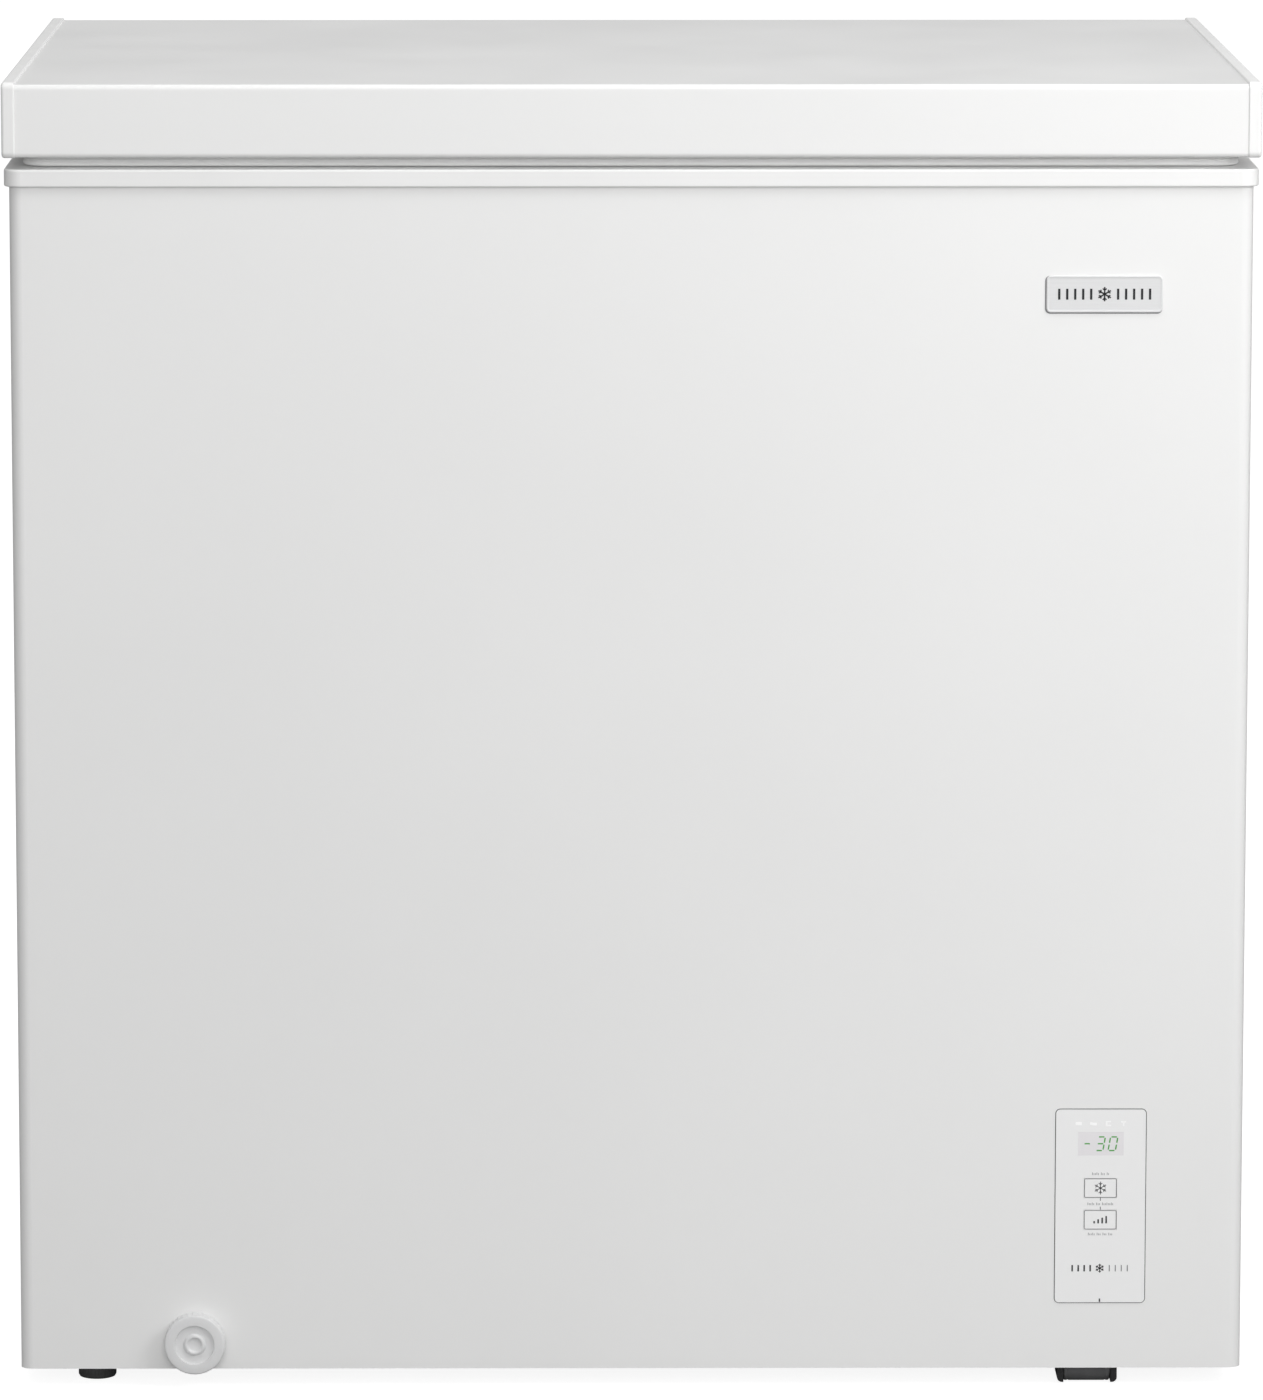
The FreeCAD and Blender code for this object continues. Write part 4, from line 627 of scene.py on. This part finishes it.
# pictograms over the window: x, z, x, z and width in millimetres from the row's middle
ICON_STROKES = ((-16.4, 0.0, -12.6, 0.0, 1.9), (-7.0, 0.3, -5.0, -0.3, 1.6), (-5.0, -0.3, -2.9, -0.3, 1.6),
                (3.6, -1.4, 3.6, 1.4, 0.9), (3.2, 1.3, 6.4, 1.3, 0.7), (3.2, -1.3, 6.4, -1.3, 0.7),
                (14.6, -1.6, 14.6, 1.5, 0.9), (13.0, 1.2, 16.2, 1.2, 0.8))
ICON_DROP = 9.3 * MM                     # from the panel's top to the row
CAPTION_PITCH = 0.95 * MM
CAPTION_STROKES = (1.7 * MM, 1.2 * MM, 1.2 * MM)     # heights, in turn
CAPTION_DROP = 0.8 * MM                  # from a row's middle to its foot
CAPTION_WIDTH = 0.38 * MM
GAP_SHADOW_WIDTH = 0.5 * MM                    # of the painted gap shadow, round the panel
MARK_HEIGHT = 22.8 * MM                  # of the lower frost mark above the panel's foot


def stroke(bm, start, stop, width, front):
    """A printed bar between two points (x, z) of a front face."""
    du, dv = stop[0] - start[0], stop[1] - start[1]
    length = sqrt(du * du + dv * dv)
    nu, nv = -dv / length * width / 2, du / length * width / 2
    outline = [(start[0] - nu, start[1] - nv), (stop[0] - nu, stop[1] - nv),
               (stop[0] + nu, stop[1] + nv), (start[0] + nu, start[1] + nv)]
    loft(bm, [[spot("y", u, v, along) for u, v in outline] for along in (front - PRINT, front)])


def upright(bm, x, bottom, top, width, front):
    stroke(bm, (x, bottom), (x, top), width, front)


def snowflake(bm, centre, size, width, front):
    """Six-armed frost mark."""
    def away(start, angle, reach):
        return (start[0] + reach * cos(angle), start[1] + reach * sin(angle))

    for k in range(6):
        angle = pi / 3 * k + pi / 6
        stroke(bm, centre, away(centre, angle, size), width, front)
        fork = away(centre, angle, size * FORK_START)
        for turn in (FORK_ANGLE, -FORK_ANGLE):
            stroke(bm, fork, away(fork, angle + turn, size * FORK_REACH), width * FORK_WIDTH, front)


def bar_row(bm, centre, side, first, pitch, count, reach, width, front):
    """Bars on one side (-1 or 1) of a centre, sizes in millimetres; each reaches up and down alike."""
    for k in range(count):
        x = centre[0] + side * (first + pitch * k) * MM
        upright(bm, x, centre[1] - reach * MM, centre[1] + reach * MM, width * MM, front)


def outline_ring(bm, centre, half, radius, width, low, high):
    """A thin outline with rounded corners."""
    outer = rounded_rect(half[0], half[1], radius)
    inner = rounded_rect(half[0] - width, half[1] - width, max(radius - width, 0.05 * MM))
    rings = []
    for outline, along in ((outer, low), (outer, high), (inner, high), (inner, low)):
        rings.append([spot("y", centre[0] + u, centre[1] + v, along) for u, v in outline])
    loft(bm, rings, closed=True)


def make_badge():
    low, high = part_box("badge_plate")
    centre, half = seen_along("y", low, high)
    layers = [(inset * MM, low.y + along * MM) for inset, along in BADGE_LAYERS] + [(0.0, high.y)]
    bm = bmesh.new()
    plate(bm, centre, half, BADGE_CORNER, layers)
    piece("badge_body", bm, "badge_metal", "cabinet", ["badge_plate"])

    bm = bmesh.new()
    face = low.y + BADGE_SINK
    snowflake(bm, centre, size=4.6 * MM, width=0.95 * MM, front=face)
    for side in (-1, 1):
        bar_row(bm, centre, side, first=8.6, pitch=5.1, count=5, reach=3.5, width=1.5, front=face)
    piece("badge_mark", bm, "dark_ink", "cabinet")

    # painted shadow: a grey bed, set off to the lower left, shows as a thin dark line under the badge's lower
    # left edges, standing in for the shade the badge casts
    bm = bmesh.new()
    shift, rim = 0.42 * MM, 0.4 * MM
    plate(bm, (centre[0] - shift, centre[1] - shift), (half[0] + rim, half[1] + rim), BADGE_CORNER + rim,
          eased(high.y - 0.35 * MM, high.y, 0.15 * MM))
    piece("badge_painted_shadow", bm, "grey_ink_and_shadow", "cabinet")


def make_digits():
    low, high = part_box("display_window")
    middle_z = (low.z + high.z) / 2
    slant, half, wide, thick, trim = 0.17, 4.5 * MM, 4.7 * MM, 0.85 * MM, 0.62 * MM
    ends = {"a": ((0, half), (wide, half)), "g": ((0, 0), (wide, 0)), "d": ((0, -half), (wide, -half)),
            "f": ((0, half), (0, 0)), "b": ((wide, half), (wide, 0)),
            "e": ((0, 0), (0, -half)), "c": ((wide, 0), (wide, -half))}
    bm = bmesh.new()
    for sign, offset in DIGIT_LEFT.items():
        left = low.x + offset
        for name in DIGIT_SEGMENTS[sign]:
            (u0, v0), (u1, v1) = ends[name]
            run = sqrt((u1 - u0) ** 2 + (v1 - v0) ** 2)
            du, dv = (u1 - u0) / run * trim, (v1 - v0) / run * trim
            u0, v0, u1, v1 = u0 + du, v0 + dv, u1 - du, v1 - dv
            stroke(bm, (left + u0 + slant * v0, middle_z + v0), (left + u1 + slant * v1, middle_z + v1),
                   thick, low.y)
    piece("display_digits", bm, "green_light", "cabinet")


def make_keys():
    for node in ("upper_key", "lower_key"):
        low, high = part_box(node)
        centre, half = seen_along("y", low, high)
        front = low.y
        bm = bmesh.new()
        outline_ring(bm, centre, half, KEY_CORNER, KEY_LINE, front - PRINT, front)
        piece(node + "_outline", bm, "grey_ink_and_shadow", node)
        bm = bmesh.new()
        if node == "upper_key":
            snowflake(bm, centre, size=4.2 * MM, width=0.5 * MM, front=front)
        else:
            foot = centre[1] - 2.4 * MM
            for k, share in enumerate(KEY_BARS):
                x = centre[0] + (k - 1.5) * KEY_BAR_PITCH
                upright(bm, x, foot, foot + KEY_BAR_HEIGHT * share, 1.0 * MM, front)
        piece(node + "_print", bm, "dark_ink", node)


def make_captions(bm, middle_x, row, words, front):
    """A row of short strokes, one per letter, where a real panel has a caption."""
    total = (sum(words) + len(words) - 1) * CAPTION_PITCH
    x = middle_x - total / 2 + CAPTION_PITCH / 2
    for letters in words:
        for k in range(letters):
            tall = CAPTION_STROKES[k % len(CAPTION_STROKES)]
            upright(bm, x, row - CAPTION_DROP, row - CAPTION_DROP + tall, CAPTION_WIDTH, front)
            x += CAPTION_PITCH
        x += CAPTION_PITCH


def make_panel_print():
    low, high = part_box("control_fascia")
    centre, half = seen_along("y", low, high)
    front, middle_x = low.y, centre[0]
    (_, upper), (_, key_half) = seen_along("y", *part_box("upper_key"))
    (_, lower), _ = seen_along("y", *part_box("lower_key"))

    bm = bmesh.new()
    row = high.z - ICON_DROP
    for x0, z0, x1, z1, width in ICON_STROKES:
        stroke(bm, (middle_x + x0 * MM, row + z0 * MM), (middle_x + x1 * MM, row + z1 * MM), width * MM, front)
    piece("panel_icons", bm, "glowing_white_ink", "cabinet")

    bm = bmesh.new()
    for row, words in ((upper + key_half + 3.1 * MM, (5, 3, 2)), ((upper + lower) / 2, (5, 3, 8)),
                       (lower - key_half - 3.2 * MM, (5, 3, 3, 3))):
        make_captions(bm, middle_x, row, words, front)
    piece("panel_rows", bm, "grey_ink_and_shadow", "cabinet")

    # painted shadow: a dark ring fills the gap between the panel and the painted steel shell, where shade
    # falls
    bm = bmesh.new()
    outer = (half[0] + GAP_SHADOW_WIDTH, half[1] + GAP_SHADOW_WIDTH)
    outline_ring(bm, centre, outer, FASCIA_CORNER + GAP_SHADOW_WIDTH, GAP_SHADOW_WIDTH,
                 front + 0.5 * MM, front + 1.6 * MM)
    piece("panel_gap_shadow", bm, "gap_shadow_dark", "cabinet")

    # link between the keys, the notch at the foot and a frost mark between bars
    bm = bmesh.new()
    gap = (upper - lower) / 2 - key_half
    for start in (upper - key_half, lower + key_half + gap * 0.55):
        upright(bm, middle_x, start, start - gap * 0.5, 0.4 * MM, front)
    upright(bm, middle_x, low.z + 0.3 * MM, low.z + 2.6 * MM, 0.9 * MM, front)
    mark = low.z + MARK_HEIGHT
    snowflake(bm, (middle_x, mark), size=2.9 * MM, width=0.6 * MM, front=front)
    for side, width in ((-1, 1.0), (1, 0.5)):
        bar_row(bm, (middle_x, mark), side, first=6.2, pitch=3.9, count=4, reach=2.1, width=width,
                front=front)
    piece("panel_lines", bm, "dark_ink", "cabinet")


# ---------------------------------------------------------------- vents

LOUVRE_SHEET = 1.0 * MM       # the rear cover's thickness
LOUVRE_STAND = 2.2 * MM       # of a louvre's crown behind the CAD sheet
LOUVRE_LIP = 0.7 * MM         # thickness of a louvre's lower edge
# a louvre from end to end: share of its length, share of its rise
LOUVRE_ENDS = ((0.0, 0.05), (0.03, 0.55), (0.08, 0.9), (0.15, 1.0), (0.85, 1.0), (0.92, 0.9), (0.97, 0.55),
               (1.0, 0.05))
BEAD_HALF = 6.5               # millimetres
BEAD_LAYERS = ((0.0, -0.2), (1.2, 0.35), (2.6, 1.0), (4.2, 1.3), (5.6, 1.4))    # inset, rise
BEAD_MARGIN = 30 * MM
LONG_BEADS = (0.395, 0.475, 0.555, 0.635)          # heights in metres
SHORT_BEADS = (0.095, 0.155, 0.215, 0.275, 0.335)  # beside the rear cover


def slots_between(low, high, margin, opening, pitch):
    """Spans of evenly spaced openings, centred between two edges."""
    room = high - low - 2 * margin
    count = int(floor((room - opening) / pitch)) + 1
    first = (low + high) / 2 - (count - 1) * pitch / 2
    return [(first + k * pitch - opening / 2, first + k * pitch + opening / 2) for k in range(count)]


def make_side_grille():
    low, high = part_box("side_grille")
    margin, rib, tuck = 16 * MM, 3 * MM, 0.2 * MM
    rows = slots_between(low.z, high.z, margin, opening=8 * MM, pitch=11.5 * MM)
    mid = (low.y + high.y) / 2
    columns = [(low.y + margin, mid - rib), (mid + rib, high.y - margin)]
    bm = bmesh.new()
    vent_plate(bm, "x", (low.y, high.y), (low.z, high.z), columns, rows, low.x, high.x)
    for column in columns:
        for start, stop in rows:
            # a blade that slopes down and inwards
            blade = [(high.x - 0.2 * MM, stop + 0.3 * MM), (high.x - 0.2 * MM, stop - 1.0 * MM),
                     (low.x - 5.0 * MM, start - 0.8 * MM), (low.x - 5.6 * MM, start - 0.2 * MM),
                     (low.x - 5.4 * MM, start + 0.6 * MM)]
            loft(bm, [[Vector((x, y, z)) for x, z in blade] for y in (column[0] - tuck, column[1] + tuck)])
    piece("grille_louvres", bm, "white_plastic", "cabinet", ["side_grille"])


def louvre_section(x, base, crown, rise, start, stop):
    """One cross section of a pressed louvre that opens downwards."""
    reach = base + (crown - base) * rise
    mid_y, mid_z = (base + reach) / 2, (start + stop) / 2
    section = ((base - 0.4 * MM, stop + 2.4 * MM), (base + 0.1 * MM, stop + 2.8 * MM),
               (mid_y + 0.5 * MM * rise, stop + 0.6 * MM), (reach, mid_z), (reach, start),
               (reach - LOUVRE_LIP * rise, start), (reach - LOUVRE_LIP * rise, mid_z),
               (mid_y - 0.4 * MM * rise, stop + 0.2 * MM))
    return [Vector((x, y, z)) for y, z in section]


def make_rear_cover():
    low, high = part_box("rear_cover")
    margin, rib = 20 * MM, 4 * MM
    rows = slots_between(low.z, high.z, margin + 8 * MM, opening=5 * MM, pitch=14 * MM)
    third = (high.x - low.x - 2 * margin) / 3
    columns = []
    for k in range(3):
        left = low.x + margin + third * k
        columns.append((left + rib * (k > 0), left + third - rib * (k < 2)))
    face = low.y + LOUVRE_SHEET
    bm = bmesh.new()
    vent_plate(bm, "y", (low.x, high.x), (low.z, high.z), columns, rows, low.y, face)
    for left, right in columns:
        for start, stop in rows:
            loft(bm, [louvre_section(left + (right - left) * share, face, high.y + LOUVRE_STAND, rise,
                                     start, stop) for share, rise in LOUVRE_ENDS])
    piece("cover_louvres", bm, "galvanised_steel", "cabinet", ["rear_cover"])


def make_back_beads():
    low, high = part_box("back_panel")
    cover_low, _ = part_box("rear_cover")
    left = low.x + BEAD_MARGIN
    spans = [(left, high.x - BEAD_MARGIN, z) for z in LONG_BEADS]
    spans += [(left, cover_low.x - BEAD_MARGIN, z) for z in SHORT_BEADS]
    bm = bmesh.new()
    for start, stop, height in spans:
        rings = []
        for inset, rise in BEAD_LAYERS:
            end = (BEAD_HALF - inset) * MM
            outline = rounded_rect((stop - start) / 2 - inset * MM, end, end)
            rings.append([spot("y", (start + stop) / 2 + u, height + v, high.y + rise * MM)
                          for u, v in outline])
        loft(bm, rings)
    piece("back_beads", bm, "galvanised_steel", "cabinet")


# ---------------------------------------------------------------- screws, springs, cord gland

HEAD_HEIGHT = 2.2 * MM
HEAD_SPOKES, HEAD_CIRCLES = 48, 14
SHANK_RADIUS = 2 * MM
SPRING_WIRE = 0.19          # share of the coil's radius
SPRING_PITCH = 2.3          # wire radii per turn, at the closest
SPRING_STEPS = 20           # per turn


def screw_head(bm, centre, seat, radius):
    """A pan head with a cross recess, facing backwards."""
    slot_half, slot_long, slot_deep = 0.13 * radius, 0.62 * radius, 0.55 * HEAD_HEIGHT
    rings = []
    for k in range(HEAD_CIRCLES + 1):
        share = 1 - k / HEAD_CIRCLES * 0.985
        ring = []
        for i in range(HEAD_SPOKES):
            angle = 2 * pi * i / HEAD_SPOKES
            u, v = radius * share * cos(angle), radius * share * sin(angle)
            rise = HEAD_HEIGHT * sqrt(max(0.0, 1 - share ** 4))
            lane, run = sorted((abs(u), abs(v)))
            if k and lane < slot_half and run < slot_long:
                rise -= slot_deep * (1 - 0.45 * run / slot_long)
            ring.append(spot("y", centre[0] + u, centre[1] + v, seat + max(rise, 0.0)))
        rings.append(ring)
    loft(bm, rings)


def make_screws(node, body):
    bm = bmesh.new()
    for low, high in lumps(node):
        centre, (radius, _) = seen_along("y", low, high)
        seat = high.y - HEAD_HEIGHT
        screw_head(bm, centre, seat, radius)
        shank = [(SHANK_RADIUS, low.y + 0.3 * MM), (SHANK_RADIUS, seat)]
        loft(bm, turned("y", centre, shank, steps=20))
    piece(node + "_cross", bm, "zinc_steel", body, [node])


def make_springs():
    bm = bmesh.new()
    for low, high in lumps("hinge_springs"):
        centre, (_, radius) = seen_along("x", low, high)
        wire = radius * SPRING_WIRE
        turns = max(4, int((high.x - low.x) / (wire * SPRING_PITCH)))
        steps = turns * SPRING_STEPS
        points = []
        for k in range(steps + 1):
            angle = 2 * pi * turns * k / steps
            x = low.x + wire + (high.x - low.x - 2 * wire) * k / steps
            points.append(spot("x", centre[0] + (radius - wire) * cos(angle),
                               centre[1] + (radius - wire) * sin(angle), x))
        tube(bm, points, wire, sides=8)
    piece("spring_coils", bm, "zinc_steel", "cabinet", ["hinge_springs"])


def make_gland():
    low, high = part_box("cord_gland")
    centre, (radius, _) = seen_along("y", low, high)
    radius, inner, outer = radius / MM, low.y / MM, high.y / MM
    profile = [(4.0, inner), (7.9, inner), (7.9, inner + 3), (radius - 0.4, outer - 4.4),
               (radius, outer - 3.9), (radius, outer - 3.2), (radius - 0.6, outer - 2.6), (7.0, outer - 2.4),
               (6.3, outer - 1.8), (6.3, outer - 0.6), (5.9, outer - 0.1), (5.0, outer), (4.2, outer - 0.1),
               (4.0, outer - 0.4)]
    bm = bmesh.new()
    loft(bm, turned("y", centre, in_metres(profile), steps=48), closed=True)
    piece("gland_ring", bm, "black_plastic", "cabinet", ["cord_gland"])


# ---------------------------------------------------------------- basket

WIRE, RIM_WIRE = 1.5 * MM, 2.0 * MM     # radii
FLARE = 4 * MM                          # of the basket's front and back at the rim
HOOK_INSET, HOOK_HALF = 0.05, 0.03      # metres, from the basket's ends and to each side
CROSS_HOOPS, LONG_HOOPS = 12, 15
GIRDLES = (0.28, 0.62)                  # shares of the height
RIM_BEND, HOOK_BEND, HOOP_BEND, GIRDLE_BEND = 22 * MM, 5 * MM, 12 * MM, 16 * MM


def make_basket():
    sides_low, sides_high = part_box("basket_sides")
    base_low, base_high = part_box("basket_base")
    left, right = base_low.x + WIRE, base_high.x - WIRE
    front, back = base_low.y + WIRE, base_high.y - WIRE
    rim_left, rim_right = left + RIM_WIRE, right - RIM_WIRE
    rim_front, rim_back = front - FLARE, back + FLARE
    bottom, top = base_low.z + WIRE, sides_high.z - RIM_WIRE
    bm = bmesh.new()

    # top frame and the hooks that rest on the ledges
    rim = corners(rim_left, rim_right, rim_front, rim_back, top)
    tube(bm, bent(rim, RIM_BEND, steps=8, closed=True), RIM_WIRE, sides=12, closed=True)
    for x in (left + HOOK_INSET, right - HOOK_INSET):
        for edge, reach in ((rim_front, sides_low.y + RIM_WIRE), (rim_back, sides_high.y - RIM_WIRE)):
            hook = [(x - HOOK_HALF, edge, top), (x - HOOK_HALF, reach, top),
                    (x + HOOK_HALF, reach, top), (x + HOOK_HALF, edge, top)]
            tube(bm, bent(hook, HOOK_BEND, steps=5), RIM_WIRE)

    # hoops from front to back, then lengthways on top of them
    for k in range(CROSS_HOOPS):
        x = left + (right - left) * (k + 0.5) / CROSS_HOOPS
        hoop = [(x, rim_front, top), (x, front + 2 * MM, bottom), (x, back - 2 * MM, bottom),
                (x, rim_back, top)]
        tube(bm, bent(hoop, HOOP_BEND), WIRE, sides=8)
    margin, upper = 14 * MM, bottom + 2 * WIRE
    for k in range(LONG_HOOPS):
        y = front + margin + (back - front - 2 * margin) * k / (LONG_HOOPS - 1)
        hoop = [(rim_left, y, top), (left + 4 * MM, y, upper), (right - 4 * MM, y, upper),
                (rim_right, y, top)]
        tube(bm, bent(hoop, HOOP_BEND), WIRE, sides=8)

    for share in GIRDLES:
        height = bottom + (top - bottom) * share
        reach = FLARE * share - 2 * MM
        girdle = corners(left + 3 * MM, right - 3 * MM, front - reach, back + reach, height)
        tube(bm, bent(girdle, GIRDLE_BEND, closed=True), WIRE, sides=8, closed=True)
    piece("basket_wires", bm, "wire_white", "basket",
          ["basket_base", "basket_sides", "basket_ends"], sharp=80)


# ---------------------------------------------------------------- stage and light

FLOOR_REACH = 40       # metres
FLOOR_GLOW = 0.9       # seen by the camera only
WORLD_GLOW = 0.42      # seen by the object; the camera sees plain white


def make_stage():
    bm = bmesh.new()
    plane = corners(-FLOOR_REACH, FLOOR_REACH, -FLOOR_REACH, FLOOR_REACH, 0)
    bm.faces.new([bm.verts.new(p) for p in plane])
    mesh = bpy.data.meshes.new("floor")
    bm.to_mesh(mesh)
    bm.free()
    pale = Finish("studio floor", (0.36, 0.36, 0.36), 0.9).vary(0.004, 2)
    pale.set("Emission Color", (1, 1, 1, 1)).set("Specular IOR Level", 0.0)
    seen = pale.add("ShaderNodeLightPath").outputs["Is Camera Ray"]
    pale.link(pale.spread(seen, 0.0, FLOOR_GLOW, 0.0, 1.0), pale.shader.inputs["Emission Strength"])
    mesh.materials.append(pale.material)
    place_object("floor", mesh)


def make_world():
    world = bpy.data.worlds.new("studio")
    bpy.context.scene.world = world
    world.use_nodes = True
    tree = world.node_tree
    around, seen = tree.nodes["Background"], tree.nodes.new("ShaderNodeBackground")
    for node, strength in ((around, WORLD_GLOW), (seen, 1.0)):
        node.inputs["Color"].default_value = (1, 1, 1, 1)
        node.inputs["Strength"].default_value = strength
    path = tree.nodes.new("ShaderNodeLightPath")
    mix = tree.nodes.new("ShaderNodeMixShader")
    tree.links.new(path.outputs["Is Camera Ray"], mix.inputs["Fac"])
    tree.links.new(around.outputs["Background"], mix.inputs[1])
    tree.links.new(seen.outputs["Background"], mix.inputs[2])
    tree.links.new(mix.outputs["Shader"], tree.nodes["World Output"].inputs["Surface"])


def area_light(name, place, aim, size, power, glossy=True):
    data = bpy.data.lights.new(name, "AREA")
    data.shape = "RECTANGLE"
    data.size, data.size_y = size
    data.energy = power
    lamp = place_object(name, data)
    lamp.location = place
    lamp.rotation_euler = (Vector(aim) - Vector(place)).to_track_quat("-Z", "Y").to_euler()
    lamp.visible_camera = False
    lamp.visible_glossy = glossy


def make_lights():
    area_light("key", (1.2, -1.3, 1.3), (0.1, -0.27, 0.5), (0.8, 0.8), 11.7)
    area_light("fill", (-0.2, -4.6, 1.6), (0, 0, 0.95), (3.0, 1.6), 57, glossy=False)
    area_light("front_top", (0.3, -1.05, 2.5), (0, -0.1, 0.8), (1.6, 0.7), 13)
    area_light("top", (0.0, 0.9, 2.6), (0, 0.2, 0.7), (2.0, 1.2), 11)


# ---------------------------------------------------------------- everything in order

make_camera()
dress_cad_nodes()

make_gasket()
make_drain_plug()
make_stopper()
for foot in ("front_foot", "rear_foot"):
    make_foot(foot)
for roller in ("front_roller", "rear_roller"):
    make_roller(roller)
make_badge()
make_digits()
make_keys()
make_panel_print()
make_side_grille()
make_rear_cover()
make_back_beads()
make_screws("cover_screws", "cabinet")
make_screws("bracket_screws", "cabinet")
make_screws("leaf_screws", "lid")
make_springs()
make_gland()
make_basket()

make_stage()
make_world()
make_lights()
bpy.context.scene.view_settings.view_transform = "Standard"
